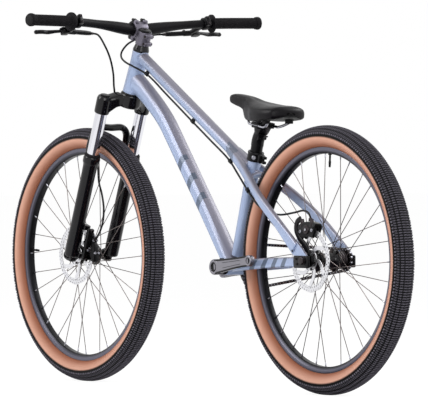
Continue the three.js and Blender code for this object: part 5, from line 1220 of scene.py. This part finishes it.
def seatpost():
    post = rounded([[0, 118], [15.45, 118], [15.45, 346], [13.6, 350], [0, 350]], 0.8)
    skin = lathe(post, CRANK, SEAT_UP, 64)
    bar(YOKE - Y * 13, YOKE + Y * 13, 5, steps=48, skin=skin)
    neck = smooth_path([seat(323), seat(334, 0.5), seat(345, -1), mix(YOKE, CLAMP, 0.5) + X * 4], 20)
    sweep(neck, np.linspace(15.45, 15.2, 20), 15.4, 40, 0.85, Y, skin)
    piece("seatpost_visual", skin, BLACK, "seatpost")


SADDLE_LENGTH, SADDLE_HALF, SADDLE_HEIGHT = 257.0, 65.0, 70.0
SADDLE_NOSE = vec(CLAMP[0] + 137, 0, CLAMP[2] + 11)
# Rows hold the way along, the top's height, the rim's height and the half width, all as shares
SADDLE_SHARES = np.array([
    [0.0, 0.9, 0.80, 0.1], [0.03, 0.96, 0.76, 0.19], [0.08, 1.0, 0.70, 0.25], [0.16, 0.99, 0.62, 0.29],
    [0.24, 0.955, 0.54, 0.31], [0.29, 0.93, 0.44, 0.33], [0.325, 0.91, 0.22, 0.37], [0.37, 0.87, 0.10, 0.45],
    [0.48, 0.74, 0.05, 0.64], [0.62, 0.64, 0.02, 0.9], [0.76, 0.57, 0.03, 1.0], [0.88, 0.54, 0.06, 0.97],
    [0.96, 0.5, 0.1, 0.84], [1.0, 0.42, 0.2, 0.66],
])


def smooth_columns(table, at, count):
    """The columns of a table after the first, at these values of the first, by smooth curves."""
    out = []
    for k in range(1, table.shape[1]):
        curve = smooth_path(np.stack([table[:, 0], table[:, k], table[:, 0] * 0], -1), count)
        out.append(np.interp(at, curve[:, 0], curve[:, 1]))
    return out


def saddle_skin(inset, rows=90, points=61, lip=6.0):
    """Arches from rim to rim: y = w cos^0.7, z = rim + (top - rim) sin^0.62, with the rim turned under."""
    along = np.linspace(0, 1, rows) ** 1.15
    top, low, wide = smooth_columns(SADDLE_SHARES, along, 400)
    x = SADDLE_NOSE[0] - SADDLE_LENGTH * along
    shrink = 1 - inset / SADDLE_HALF
    nose = np.sqrt(np.clip(along / 0.035, 0, 1))
    tail = np.sqrt(np.clip((1 - along) / 0.045, 0.0, 1))
    round_off = 0.35 + 0.65 * nose * tail
    half = SADDLE_HALF * wide * shrink * round_off
    base = SADDLE_NOSE[2] + SADDLE_HEIGHT * low
    rise = SADDLE_HEIGHT * (top - low) - inset
    turn = np.linspace(0, math.pi, points)
    lift = np.sin(turn) ** 0.62
    spread = np.sign(np.cos(turn)) * np.abs(np.cos(turn)) ** 0.7
    waist = 1 - 0.1 * (1 - lift)
    upper = np.stack([np.broadcast_to(x[:, None], (rows, points)), half[:, None] * (spread * waist)[None],
                      base[:, None] + rise[:, None] * lift[None] * mix(0.6, 1, round_off)[:, None]], -1)
    dip = 1.6 * np.exp(-((turn - math.pi / 2) / 0.16) ** 2)[None] * ease((along - 0.2) * 5)[:, None] \
        * ease((0.97 - along) * 6)[:, None]
    upper[..., 2] -= dip
    edge = [(0.96, -0.7), (0.86, -1.2), (0.7, 0.5), (0.4, 3.0)]
    edge += [(0.0, lip)] + [(-share, drop) for share, drop in edge[::-1]]
    under = [np.stack([x, -half * share * 0.9, base + drop], -1) for share, drop in edge]
    rings = np.concatenate([upper, np.stack(under, 1)], 1)
    return Skin().grid(rings)


def saddle():
    cover = piece("saddle_cover_visual", saddle_skin(0), LEATHER, "saddle", smooth_angle=50)
    shell = saddle_skin(5, lip=2.0)
    shell.points[0] = shell.points[0] - vec(0, 0, 2.4)
    slab(oblong(9, 8, 4), -4, 8, vec(CLAMP[0] + 64, 0, CLAMP[2] + 50), X, Y, 1.5, shell)
    for side in (1, -1):
        slab(oblong(9, 8, 4), -9, 12, vec(CLAMP[0] - 63, side * 36, CLAMP[2] + 12), X, Y, 1.5, shell)
    piece("saddle_shell_visual", shell, PLASTIC, "saddle", smooth_angle=50)
    seam = Skin()
    along = np.linspace(0.04, 0.965, 80)
    top, low, wide = smooth_columns(SADDLE_SHARES, along, 400)
    turn = mix(0.95, 0.62, ease(along * 1.4))
    half = SADDLE_HALF * wide
    lift = np.sin(turn) ** 0.62
    for side in (1, -1):
        path = np.stack([SADDLE_NOSE[0] - SADDLE_LENGTH * along,
                         side * half * np.cos(turn) ** 0.7 * (1 - 0.1 * (1 - lift)),
                         SADDLE_NOSE[2] + SADDLE_HEIGHT * (low + (top - low) * lift)], -1)
        sweep(path, 0.55, 0.4, 8, 1.0, Z, seam)
    piece("saddle_seams", seam, PLASTIC, "saddle")


RAIL_PITCH = math.radians(9)


def rail_points():
    way = around(RAIL_PITCH)

    def at(along, out, up, side):
        return CLAMP + way * along + vec(0, out * side, up)

    def half(side):
        return [at(-70, 36, 18, side), at(-49, 26, 5.3, side), at(-33, 22, 0, side), at(-26.4, 22, 0, side),
                at(26.4, 22, 0, side), at(33, 20, 1, side), at(44, 15, 9, side), at(53, 8, 25, side)]

    return half(1) + [CLAMP + vec(60, 0, 45)] + half(-1)[::-1]


def saddle_hardware():
    rails = sweep(smooth_path(rail_points(), 160), 3.5, 3.5, 16)
    piece("saddle_rails_visual", rails, BRIGHT, "saddle")
    way = around(RAIL_PITCH)
    over = vec(-way[2], 0, way[0])
    skin = Skin()
    for half, low, high in ((17, 0.4, 7), (15, -7, -0.4)):
        slab(oblong(half, 27, 5), low, high, CLAMP, way, Y, 1.2, skin)
    block = rounded_corners([[-17, -4], [17, -4], [12, -24], [-3, -24]], 4)
    slab(block, -16, 16, CLAMP, way, over, 1.2, skin)
    piece("saddle_clamp_visual", skin, BLACK, "saddle")
    bolts = Skin()
    for ahead in (-21, 21):
        at = CLAMP + way * ahead * 0.9
        bar(at - over * 22, at + over * 9, 2.6, steps=16, skin=bolts)
        bolt(at - over * 25, -over, 4.2, 3, bolts)
    piece("saddle_clamp_bolts", bolts, DARK_STEEL, "saddle")


seat_collar()
seatpost()
saddle()
saddle_hardware()


# Steering and fork
def on_leg(side, up=0.0):
    """The point up the axis of the fork's leg on this side."""
    return steer(up, LEG_AHEAD, side * LEG_OFFSET)


def headset():
    low = rounded([[14.6, 466], [24, 466], [26, 468], [26, 474.5], [25, 477.7], [14.6, 477.7]], 0.6)
    piece("headset_lower_visual", lathe(low, STEER_ORIGIN, STEER_UP, 72), BLACK, "frame")
    high = rounded([[14.6, 593.3], [21.6, 593.3], [21.6, 597], [21, 599], [18, 609], [17.4, 611],
                    [14.6, 611]], 0.6)
    cup = lathe(high, STEER_ORIGIN, STEER_UP, 72)
    piece("headset_upper_visual", cup, FORK_PAINT, "frame", slot="black_alloy")


# Rows of the crown's arch: left, ahead, top, underside, half depth
CROWN_ROWS = np.array([
    [0, 2, 464.5, 441, 24], [14, 4, 465, 441, 22.5], [21, 7, 467, 440, 21], [28, 10, 471, 438, 19.5],
    [36, 15.5, 468, 433, 18], [46, 21.5, 462, 421, 18], [55, 25.5, 458, 411.5, 18.6],
    [63.5, 27, 456, 409.5, 18.8],
])


def crown():
    """An arch of squared sections from leg to leg, lugs round the tubes, and a collar round the bearing."""
    collar = rounded([[14.6, 438], [27, 438], [30, 446], [29.4, 470], [28, 473.5], [26.5, 473.5],
                      [26.5, 465.7], [14.6, 465.7]], 1.2)
    skin = lathe(collar, STEER_ORIGIN, STEER_UP, 64)
    left = np.linspace(-63.5, 63.5, 90)
    ahead, top, low, deep = smooth_columns(CROWN_ROWS, np.abs(left), 300)
    path = np.array([steer((h + b) / 2, a, y) for y, a, h, b in zip(left, ahead, top, low)])
    sections(path, STEER_AHEAD, deep, STEER_UP, (top - low) / 2, oval(36, 0.5), skin)
    lug = rounded([[0, 409], [18.6, 409], [20, 413], [20, 449], [17.6, 456], [15.6, 457.5], [0, 457.5]], 1.2)
    for side in (1, -1):
        lathe(lug, on_leg(side), STEER_UP, 64, skin)
    piece("fork_crown_visual", skin, FORK_PAINT, "steering")
    knobs = Skin()
    cap = rounded([[0, 0], [12.5, 0], [12.5, 2.4], [9, 3.6], [0, 3.6]], 0.6)
    for side in (1, -1):
        lathe(cap, on_leg(side, 457.5), STEER_UP, 40, knobs, lambda v: 1 + 0.03 * np.cos(v * 14))
    piece("fork_top_caps", knobs, BLACK, "steering")


def fork_tubes():
    for word, side in SIDES:
        at = on_leg(side)
        skin = bar(at + STEER_UP * 118, at + STEER_UP * 457, 16, steps=64)
        piece("stanchion_" + word + "_visual", skin, CHROME, "steering")


def lowers():
    skin = Skin()
    centre = steer(0, AXLE_AHEAD)
    leg = rounded([[0, 5], [17.2, 5], [19.2, 8], [19.4, 40], [18.6, 120], [18.8, 240], [19.4, 262],
                   [21.3, 268], [22.6, 271], [22.6, 282], [20.4, 289.5], [16.6, 290.3], [0, 290.3]], 1.6)
    for side in (1, -1):
        lathe(leg, on_leg(side), STEER_UP, 64, skin)
        bar(centre + Y * side * 50.4, centre + Y * side * 63, 15, steps=56, edge=1.5, skin=skin)
        slab(rounded_corners([[20, -13], [52, -11], [58, 0], [52, 12], [24, 34]], 8), -9, 9,
             steer(0, 0, side * 57), STEER_AHEAD, STEER_UP, 2.5, skin)
    arch_points = [steer(268, 46, 58), steer(308, 55.8, 57), steer(340, 55.8, 51), steer(356.4, 55.8, 35),
                   steer(357, 55.8, 0)]
    arch_points += [p * vec(1, -1, 1) for p in arch_points[-2::-1]]
    path = smooth_path(arch_points, 90)
    t = np.abs(np.linspace(-1, 1, 90))
    tangent = unit(np.gradient(path, axis=0))
    outward = unit(np.cross(tangent, STEER_AHEAD))
    deep = mix(8.0, 7.0, t)
    thick = mix(9.5, 8.5, ease(1 - t))
    sections(path, STEER_AHEAD, deep, outward, thick, oval(28, 0.6), skin)
    for up in (14, 94):
        slab(oblong(9, 6.5, 3), 42, 60, steer(up, 6), STEER_AHEAD, -STEER_UP, 1.2, skin)
    piece("fork_lowers_visual", skin, FORK_PAINT, "fork_lower")
    seals, feet = Skin(), Skin()
    profile = rounded([[16.2, 287], [21, 287], [21, 291], [18.4, 294.5], [16.2, 294.5]], 0.5)
    for side in (1, -1):
        lathe(profile, on_leg(side), STEER_UP, 56, seals)
        bolt(on_leg(side, 5.2), -STEER_UP, 6.5, 5, feet)
    piece("fork_seals", seals, GRIP, "fork_lower")
    bar(steer(268, 27, -83), steer(268, 27, -90), 5.4, steps=28, skin=feet)
    piece("fork_feet", feet, BLACK, "fork_lower")
    axle = bar(centre - Y * 63, centre + Y * 63, 7.5, steps=36)
    for side in (1, -1):
        bolt(centre + Y * side * 63.3, Y * side, 10.5, 6, axle)
    piece("front_axle_visual", axle, BLACK, "fork_lower")


CALIPER_RADIUS = 77.0


def caliper_body(centre, angle, ahead, up, outer, inner, bridge):
    """Two halves beside the rotor and a bridge over its rim: arcs about the axle, each from low to high."""
    skin = Skin()
    half = math.radians(24)
    for least, most, (low, high) in ((59, 94, outer), (59, 94, inner), (84, 97, bridge)):
        outline = rounded_corners(arc_outline(angle - half, angle + half, 16, most, least), 1.4, 3)
        # across x up points to -Y, so the heights are taken with the other sign
        slab(outline, -high, -low, centre, ahead, up, 2.0, skin)
    return skin


def hose_nipple(centre, outward, across, left, places, radius, skin):
    """A short bar for the hose between two places, each as far out from the axle and back from the middle."""
    a, b = [centre + outward * out - across * back + Y * left for out, back in places]
    bar(a, b, radius, 2.6, 20, 0.4, skin)


def front_caliper():
    centre = steer(0, AXLE_AHEAD)
    angle = math.radians(146)
    body = caliper_body(centre, angle, STEER_AHEAD, STEER_UP, (38.3, 45.4), (27.6, 33.7), (29, 45))
    slab(oblong(5.5, 44, 4), -59.7, -42.3, steer(54, -18), STEER_AHEAD, STEER_UP, 1.6, body)
    piece("front_caliper_visual", body, BLACK, "fork_lower")
    bolts, small = Skin(), Skin()
    for up in (14, 94):
        bolt(steer(up, -23.5, 51), -STEER_AHEAD, 4.4, 4.5, bolts)
    outward = math.cos(angle) * STEER_AHEAD + math.sin(angle) * STEER_UP
    across = np.cross(outward, Y)
    middle = centre + CALIPER_RADIUS * outward
    bar(middle + Y * 44, middle + Y * 47.6, 12, 10.8, 36, 0.8, bolts)
    bar(middle + Y * 25, middle + Y * 28.5, 12, 12, 36, 0.8, bolts)
    piece("front_caliper_bolts", bolts, DARK_STEEL, "fork_lower")
    for shift, left in ((-17, 31), (17, 31), (-17, 42), (17, 42)):
        bolt(centre + outward * 96.5 + across * shift + Y * left, outward, 3.4, 3.2, small)
    bar(middle + Y * 46.5, middle + Y * 49, 6.5, 6, 30, 0.5, small)
    bar(middle + Y * 22.6, middle + Y * 25.4, 6.5, 6, 30, 0.5, small)
    bolt(steer(40, -23.4, 51), -STEER_AHEAD, 3.2, 2.6, small)
    hose_nipple(centre, outward, across, 34, ((88, 26), (96, 31)), 3.2, small)
    piece("front_caliper_fittings", small, BRIGHT, "fork_lower")


def rear_bracket():
    """A plate that climbs from a ring round the axle to the rear caliper."""
    places = np.array([[4, 8], [7, 30], [36, 55], [50, 76], [46, 95], [31, 104]])
    path = smooth_path([REAR + vec(ahead, 58.2, up) for ahead, up in places], 40)
    across = np.cross(unit(np.gradient(path, axis=0)), Y)
    half = mix(9.5, 7.0, ease(np.linspace(0, 1, 40) * 2))
    skin = sections(path, across, half, Y, np.full(40, 3.1), oval(24, 0.5))
    ring_slab(18, 10.6, -2.8, 2.8, REAR + 58.2 * Y, Y, 60, 0.8, skin)
    piece("rear_bracket_visual", skin, BLACK, "frame", nodes=["rear_caliper_bracket"])


def rear_caliper():
    angle = math.radians(86)
    body = caliper_body(REAR, angle, X, Z, (53.4, 60.4), (37.2, 48.7), (40, 60))
    piece("rear_caliper_visual", body, BLACK, "frame")
    rear_bracket()
    bolts, small = Skin(), Skin()
    outward = around(angle)
    across = np.cross(outward, Y)
    middle = REAR + CALIPER_RADIUS * outward
    bar(middle + Y * 59.5, middle + Y * 63.5, 12.5, 11, 36, 0.8, bolts)
    bolt(middle + Y * 63.2, Y, 5, 1.4, bolts)
    for shift in (-19, 21):
        tip = REAR + vec(shift + 5, 57, 98)
        bar(tip - Z * 14, tip + Z * 2, 5.0, steps=24, skin=bolts)
        bolt(tip + Z * 2, Z, 4.4, 3.5, bolts)
    piece("rear_caliper_bolts", bolts, DARK_STEEL, "frame")
    for shift in (-24, 24):
        bolt(REAR + outward * 74 + across * shift + Y * 60.2, Y, 4.2, 3.0, small)
    bar(middle + Y * 63.2, middle + Y * 65.2, 3.4, 3.0, 24, 0.4, small)
    hose_nipple(REAR, outward, across, 56, ((66, 31), (60, 39)), 3.4, small)
    piece("rear_caliper_fittings", small, BRIGHT, "frame")


def rear_axle():
    skin = bar(REAR - Y * 82.5, REAR + Y * 82.5, 5, steps=28)
    washer, nut = 75.1, 76.7
    for side in (1, -1):
        bar(REAR + Y * side * washer, REAR + Y * side * nut, 11, steps=40, edge=0.3, skin=skin)
        bolt(REAR + Y * side * nut, Y * side, 9.5, 5.6, skin, hexagon=True)
    piece("rear_axle_visual", skin, DARK_STEEL, "frame")


headset()
crown()
fork_tubes()
lowers()
front_caliper()
rear_caliper()
rear_axle()


# Cockpit
BAR_CENTRE = steer(BAR_CENTRE_UP, BAR_CENTRE_AHEAD)


def steering_vector(ahead, left, up):
    return ahead * STEER_AHEAD + left * Y + up * STEER_UP


def stem_half(start, gap, ear, ahead, skin):
    """Half of the ring round the bar with the ears of its four bolts, whose places it returns."""
    ring = arc_outline(start, start + math.pi, 24, 22.5, 16.2) + vec(gap, 0)
    slab(ring, -19, 19, BAR_CENTRE, STEER_AHEAD, STEER_UP, 1.0, skin)
    places = [(left, up) for left in (13.6, -13.6) for up in (23.5, -23.5)]
    for left, up in places:
        at = BAR_CENTRE + steering_vector(ahead, 0, up)
        slab(oblong(ear, 4.6, 3), left - 5.2, left + 5.2, at, STEER_AHEAD, STEER_UP, 1.0, skin)
    return places


def stem():
    skin = Skin()
    clamp = rounded([[14.6, 611.3], [19, 611.3], [19, 647.9], [14.6, 647.9]], 1.6)
    lathe(clamp, STEER_ORIGIN, STEER_UP, 64, skin)
    neck = line(steer(629.5, 6), steer(640, 26), 12)
    t = np.linspace(0, 1, 12)
    sections(neck, Y, mix(15, 18.5, t), STEER_UP, mix(16.5, 20.5, t), oval(40, 0.6), skin)
    stem_half(math.pi / 2, 0.0, 5.2, -5.4, skin)
    bolts = Skin()
    for up in (619.5, 640):
        slab(oblong(6, 5.4, 3), -11, 11, steer(up, -21), STEER_AHEAD, STEER_UP, 1.2, skin)
        bolt(steer(up, -21, -10.8), -Y, 4.2, 3.4, bolts)
        bar(steer(up, -21, 10.8), steer(up, -21, 13.4), 3.6, steps=24, skin=bolts)
    piece("stem_visual", skin, GREY, "steering")
    face = Skin()
    for left, up in stem_half(-math.pi / 2, 0.8, 5.0, 6.0, face):
        bolt(BAR_CENTRE + steering_vector(10.8, left, up), STEER_AHEAD, 3.8, 3.6, bolts)
    piece("stem_faceplate_visual", face, BLACK, "steering")
    piece("stem_bolts", bolts, DARK_STEEL, "steering")
    cap = rounded([[0, 0], [17.2, 0], [17.2, 2.6], [14, 4.6], [6, 5], [5, 3.4], [0, 3.4]], 0.7)
    piece("top_cap_visual", lathe(cap, steer(648.3), STEER_UP, 56), BLACK, "steering")
    bolt_skin = bolt(steer(651.4), STEER_UP, 4.2, 2.2)
    piece("top_cap_bolt", bolt_skin, DARK_STEEL, "steering")


def bar_line(count=600):
    half = [(BAR_END, -26.7, 32.2), (GRIP_START, -10.4, 23.3), (116, -1.7, 12.4), (34, 0, 1.2)]
    points = [BAR_CENTRE + steering_vector(a, y, u) for y, a, u in half]
    points += [BAR_CENTRE + Y * 23, BAR_CENTRE - Y * 23]
    points += [BAR_CENTRE + steering_vector(a, -y, u) for y, a, u in half[::-1]]
    return smooth_path(points, count)


BAR_LINE = bar_line()


def bar_at(left):
    """The bar's centre this far to the left."""
    order = BAR_LINE[::-1]
    return np.stack([np.interp(left, order[:, 1], order[:, k]) for k in range(3)], -1)


def bar_radius(left):
    return mix(15.9, 11.1, ease((np.abs(left) - 34) / 116))


def handlebar():
    left = np.linspace(363.7, -363.7, 220)
    path = bar_at(left)
    radius = bar_radius(left)
    piece("handlebar_visual", sweep(path, radius, radius, 40, 1.0, Z), MATT_BLACK, "steering")
    for word, side in SIDES:
        left = side * np.linspace(GRIP_START, BAR_END - 1, 240)
        path = bar_at(left)
        along = np.abs(left) - GRIP_START
        ribs = 0.45 * np.cos(along * 2 * math.pi / 3.4)
        body = 14.3 + ribs * ease((along - 8) / 4) * ease((130 - along) / 4)
        flange = 24.3 * (along < 4.2) + body * (along >= 4.2)
        flange = np.where((along > 4.2) & (along < 9), 17.5 - (along - 4.2) * 0.55, flange)
        cap = np.where(along > 132, 16.4, flange)
        cap = np.where(along > 136, 17.2, cap)
        skin = sweep(path, cap, cap, 40, 1.0, Z)
        tip = bar_at(side * BAR_END)
        away = unit(tip - bar_at(side * (BAR_END - 4)))
        bar(tip - away * 3, tip + away * 3, 17.2, 15.6, 44, 1.2, skin)
        piece("grip_" + word + "_visual", skin, GRIP, "steering", smooth_angle=30)
        plug = bar(tip + away * 2, tip + away * 3.3, 12.2, 11.6, 40, 0.4)
        piece("bar_plug_" + word, plug, PLASTIC, "steering")


def brake_place(side):
    """The origin and directions of a brake: away from the bar and down, left, and along the pivot's pin."""
    point = bar_at(side * BRAKE_LEFT) * vec(1, 0, 1)
    away = math.cos(BRAKE_TILT) * STEER_AHEAD - math.sin(BRAKE_TILT) * STEER_UP
    pin = math.sin(BRAKE_TILT) * STEER_AHEAD + math.cos(BRAKE_TILT) * STEER_UP
    return point, away, pin


def brakes():
    for word, side in SIDES:
        point, away, pin = brake_place(side)

        def at(ahead, left, height=0.0):
            return point + away * ahead + Y * side * left + pin * height

        skin = Skin()
        centre = bar_at(side * BRAKE_LEFT)
        along = unit(bar_at(side * (BRAKE_LEFT + 3)) - bar_at(side * (BRAKE_LEFT - 3)))
        ring = rounded([[12.0, -6], [16.5, -6], [16.5, 6], [12.0, 6]], 1.2)
        lathe(ring, centre, along, 48, skin)
        slab(oblong(5.4, 6, 2.4), -13, 13, centre - away * 17, away, along, 1.2, skin)
        arm_path = smooth_path([at(9, BRAKE_LEFT), at(30, 199), at(54, 193)], 16)
        sweep(arm_path, np.linspace(7.5, 6.5, 16), np.linspace(6.5, 6.0, 16), 24, 0.75, pin, skin)
        body = rounded([[0, 0], [6.4, 0], [7.5, 2], [7.5, 30], [6.4, 33], [6.4, 60], [6.2, 70], [5.4, 84],
                        [3.6, 85.5], [0, 85.5]], 0.8)
        lathe(body, at(56, 204), at(67, 120) - at(56, 204), 36, skin)
        ear = rounded_corners([[47, 198], [65, 198], [65, 216], [60, 221], [52, 221], [47, 216]], 3)
        for low, high in ((4.0, 8.4), (-8.4, -4.0)):
            slab(ear, low, high, at(0, 0), away, Y * side, 0.9, skin)
        piece("brake_clamp_" + word + "_visual", skin, BLACK, "steering")
        bolts = Skin()
        bolt(at(*PIVOT, 8.2), pin, 4.6, 2.2, bolts)
        for up in (8, -8):
            bolt(centre - away * 22 + pin * up, -away, 3.2, 2.4, bolts)
        bolt(at(60, 176, 7), pin, 4.4, 1.8, bolts)
        bar(at(66.5, 124), at(68.2, 111), 4.6, 3.4, 24, 0.5, bolts)
        piece("brake_bolts_" + word, bolts, DARK_STEEL, "steering")
        blade = Skin()
        path = smooth_path([at(*PIVOT), at(57.6, 224), at(59.4, 236), at(64, 256), at(62.4, 275),
                            at(64, 292), at(65, 297)], 60)
        t, shares = np.linspace(0, 1, 60), [0, 0.3, 0.5, 0.9, 0.96, 1]
        deep = np.interp(t, shares, [5.0, 3.4, 4.2, 4.2, 5.4, 3.5])
        tall = np.interp(t, shares, [3.4, 4.4, 5.6, 5.4, 5.6, 3.5])
        sweep(path, deep, tall, 28, 0.75, pin, blade)
        for radius, half, steps in ((6, 3.6, 36), (2.6, 7.8, 20)):
            bar(at(*PIVOT, -half), at(*PIVOT, half), radius, steps=steps, skin=blade)
        piece("brake_lever_" + word + "_visual", blade, BLACK, "lever_" + word)


def cylinder_ends(side):
    """The hose's first points, on the line of the master cylinder beyond its inner end."""
    point, away = brake_place(side)[:2]
    outer = point + away * 56 + Y * side * 204
    inner = point + away * 67 + Y * side * 120
    way = unit(inner - outer)
    return [inner + way * r for r in (0.3, 4.5, 9.0)]


FRONT_HOSE = [
    (334, 100, 917), (322, 86, 888), (322, 70, 856), (334, 52, 818), (353, 37, 787), (371, 24, 757),
    (384, 33, 731), (392, 44, 704), (405, 46, 668), (418, 44, 632), (428, 38, 592), (426, 38, 560),
    (421, 39, 530), (408, 39, 500), (399, 39, 462), (402, 40, 425), (414, 41, 400),
]
REAR_HOSE = [
    (345, -96, 920), (350, -60, 914), (340, -16.5, 903), (338, 5, 892), (337.7, 22, 873), (325, 32, 859),
    (299, 37, 845.6), (270.6, 30, 833), (229, 18, 813), (131, 18, 754.5), (25.6, 18, 690),
    (-56.7, 18, 640), (-140, 18, 588.5), (-188, 25, 553), (-241.6, 36, 515), (-273.6, 42, 493),
    (-302, 44, 474), (-345, 44, 457), (-399, 46, 450), (-464, 48, 456), (-504, 50, 461), (-527, 51, 455),
]


def hose_skin(points):
    return sweep(smooth_path(points, 260), HOSE_RADIUS, HOSE_RADIUS, 12)


def hoses():
    centre = steer(0, AXLE_AHEAD)
    out = math.cos(math.radians(135)) * STEER_AHEAD + math.sin(math.radians(135)) * STEER_UP
    front_end = [centre + Y * 37 + out * (97 + r) for r in (9, 4.5, 0.6)]
    rear_end = [REAR + Y * 51 + Z * (97 + r) for r in (9, 4.5, 0.6)]
    front = hose_skin(cylinder_ends(1) + FRONT_HOSE + front_end)
    made = piece("front_hose_visual", front, HOSE, None)
    steer(400) * METRE
    steer(170) * METRE
    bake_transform(made)
    rear = hose_skin(cylinder_ends(-1) + REAR_HOSE + rear_end)
    made = piece("rear_hose_visual", rear, HOSE, None)
    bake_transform(made)
    clips = Skin()
    for x, y, z, way in ((229, 18, 813, TOP_WAY), (20.5, 18, 687, TOP_WAY), (-147.6, 19, 583.5, TOP_WAY),
                         (-249, 38, 510, unit(vec(-0.8, 0.15, -0.55)))):
        at = vec(x, y, z)
        bar(at - way * 6, at + way * 6, 4.4, steps=24, edge=0.8, skin=clips)
        up = unit(np.cross(way, Y))
        up = up if up[2] > 0 else -up
        slab(oblong(6, 3.4, 1.5), -2, 2, at + up * 4.6 - Y * 1.5, way, up, 0.6, clips)
    piece("hose_clips", clips, PLASTIC, "frame")
    for word, end, body in (("front", front_end, "fork_lower"), ("rear", rear_end, "frame")):
        piece(word + "_hose_collar", bar(end[0], end[2], 4.4, 5.4, 24, 0.5), DARK_STEEL, body)


stem()
handlebar()
brakes()
hoses()

# CAD nodes that stay in view keep their shape and take a finish
for node in ("steerer", "fork_air_piston"):
    mesh = frame["nodes"][node].data
    mesh.materials.clear()
    mesh.materials.append(DARK_STEEL)


# Stage and light
def seen_rays(tree):
    """1 for camera, glossy and transmission rays, which all see the white studio, else 0."""
    path = tree.nodes.new("ShaderNodeLightPath")
    total = None
    for name in ("Is Camera Ray", "Is Glossy Ray", "Is Transmission Ray"):
        ray = Socket(tree, path.outputs[name])
        total = ray if total is None else total.math("MAXIMUM", ray)
    return total


def panel(name, corners, shader_of):
    """A flat stage piece with four corners in metres and a material that shader_of builds in its tree."""
    mesh = bpy.data.meshes.new(name)
    mesh.from_pydata(corners, [], [(0, 1, 2, 3)])
    made = bpy.data.objects.new(name, mesh)
    bpy.context.collection.objects.link(made)
    material = bpy.data.materials.new(name)
    material.use_nodes = True
    tree = material.node_tree
    tree.links.new(shader_of(tree), tree.nodes["Material Output"].inputs["Surface"])
    mesh.materials.append(material)


def mixed(tree, factor, first, second):
    """The output of a node that mixes two shaders' outputs."""
    made = tree.nodes.new("ShaderNodeMixShader")
    for k, output in enumerate((factor, first, second)):
        tree.links.new(output, made.inputs[k])
    return made.outputs[0]


def floor_shader(tree):
    """Matt white, to which the seen rays add a glow that brings it to white and leaves a soft shadow."""
    matt = tree.nodes["Principled BSDF"]
    set_inputs(tree, matt, {"Base Color": (0.9, 0.9, 0.9, 1), "Roughness": 0.9, "Specular IOR Level": 0.0})
    white = set_inputs(tree, tree.nodes.new("ShaderNodeEmission"), {"Strength": 1.1})
    return mixed(tree, (seen_rays(tree) * 0.8).link, matt.outputs[0], white.outputs[0])


def card_shader(tree):
    """Dull and dark. All but glossy rays pass through it, so that only the bicycle's gloss shows it."""
    dull = tree.nodes["Principled BSDF"]
    dark = (0.07, 0.065, 0.08, 1)
    set_inputs(tree, dull, {"Base Color": dark, "Roughness": 1.0, "Specular IOR Level": 0.0})
    clear = tree.nodes.new("ShaderNodeBsdfTransparent")
    path = tree.nodes.new("ShaderNodeLightPath")
    return mixed(tree, path.outputs["Is Glossy Ray"], clear.outputs[0], dull.outputs[0])


def stage():
    far = 60.0
    panel("floor", [(-far, -far, 0), (far, -far, 0), (far, far, 0), (-far, far, 0)], floor_shader)
    # A dark cloth on the floor, behind the bicycle and to its left, gives the chrome and gloss their bands
    corners = ((0.3, 0.3), (-2.6, 2.45), (-3.6, -1.6), (0.3, -0.5))
    panel("cloth", [(x, y, 0.002) for x, y in corners], card_shader)


def world():
    """Soft light that is stronger from above, seen as plain white."""
    made = bpy.data.worlds.new("studio")
    bpy.context.scene.world = made
    made.use_nodes = True
    tree = made.node_tree
    tree.nodes.clear()
    seen = set_inputs(tree, tree.nodes.new("ShaderNodeBackground"), {"Color": (1, 1, 1, 1)})
    lit = tree.nodes.new("ShaderNodeBackground")
    place = tree.nodes.new("ShaderNodeTexCoord")
    parts = tree.nodes.new("ShaderNodeSeparateXYZ")
    ramp = tree.nodes.new("ShaderNodeMapRange")
    set_inputs(tree, ramp, {"From Min": -0.4, "From Max": 0.9, "To Min": 0.25, "To Max": 0.7})
    tree.links.new(place.outputs["Generated"], parts.inputs[0])
    tree.links.new(parts.outputs[2], ramp.inputs["Value"])
    tree.links.new(ramp.outputs[0], lit.inputs["Color"])
    out = tree.nodes.new("ShaderNodeOutputWorld")
    both = mixed(tree, seen_rays(tree).link, lit.outputs[0], seen.outputs[0])
    tree.links.new(both, out.inputs[0])


def lamp(name, place, aim, power, size):
    """A rectangular lamp at a place in metres that looks at the aim."""
    data = bpy.data.lights.new(name, "AREA")
    data.energy = power
    data.shape = "RECTANGLE"
    data.size, data.size_y = size
    made = bpy.data.objects.new(name, data)
    way = unit(vec(*aim) - vec(*place))
    right = basis(way)[0]
    turn = Matrix(np.stack([right, np.cross(-way, right), -way], axis=1).tolist()).to_4x4()
    made.matrix_world = Matrix.Translation(place) @ turn
    bpy.context.collection.objects.link(made)


stage()
world()
lamp("key", (1.8, 3.6, 3.2), (0, 0, 0.4), 120, (2.4, 2.4))
lamp("side", (-4.2, 2.2, 1.6), (0, 0, 0.5), 60, (1.6, 2.6))
lamp("back", (-1.0, -3.4, 3.0), (0, 0, 0.5), 70, (2.4, 1.6))

bpy.context.scene.view_settings.view_transform = "Standard"
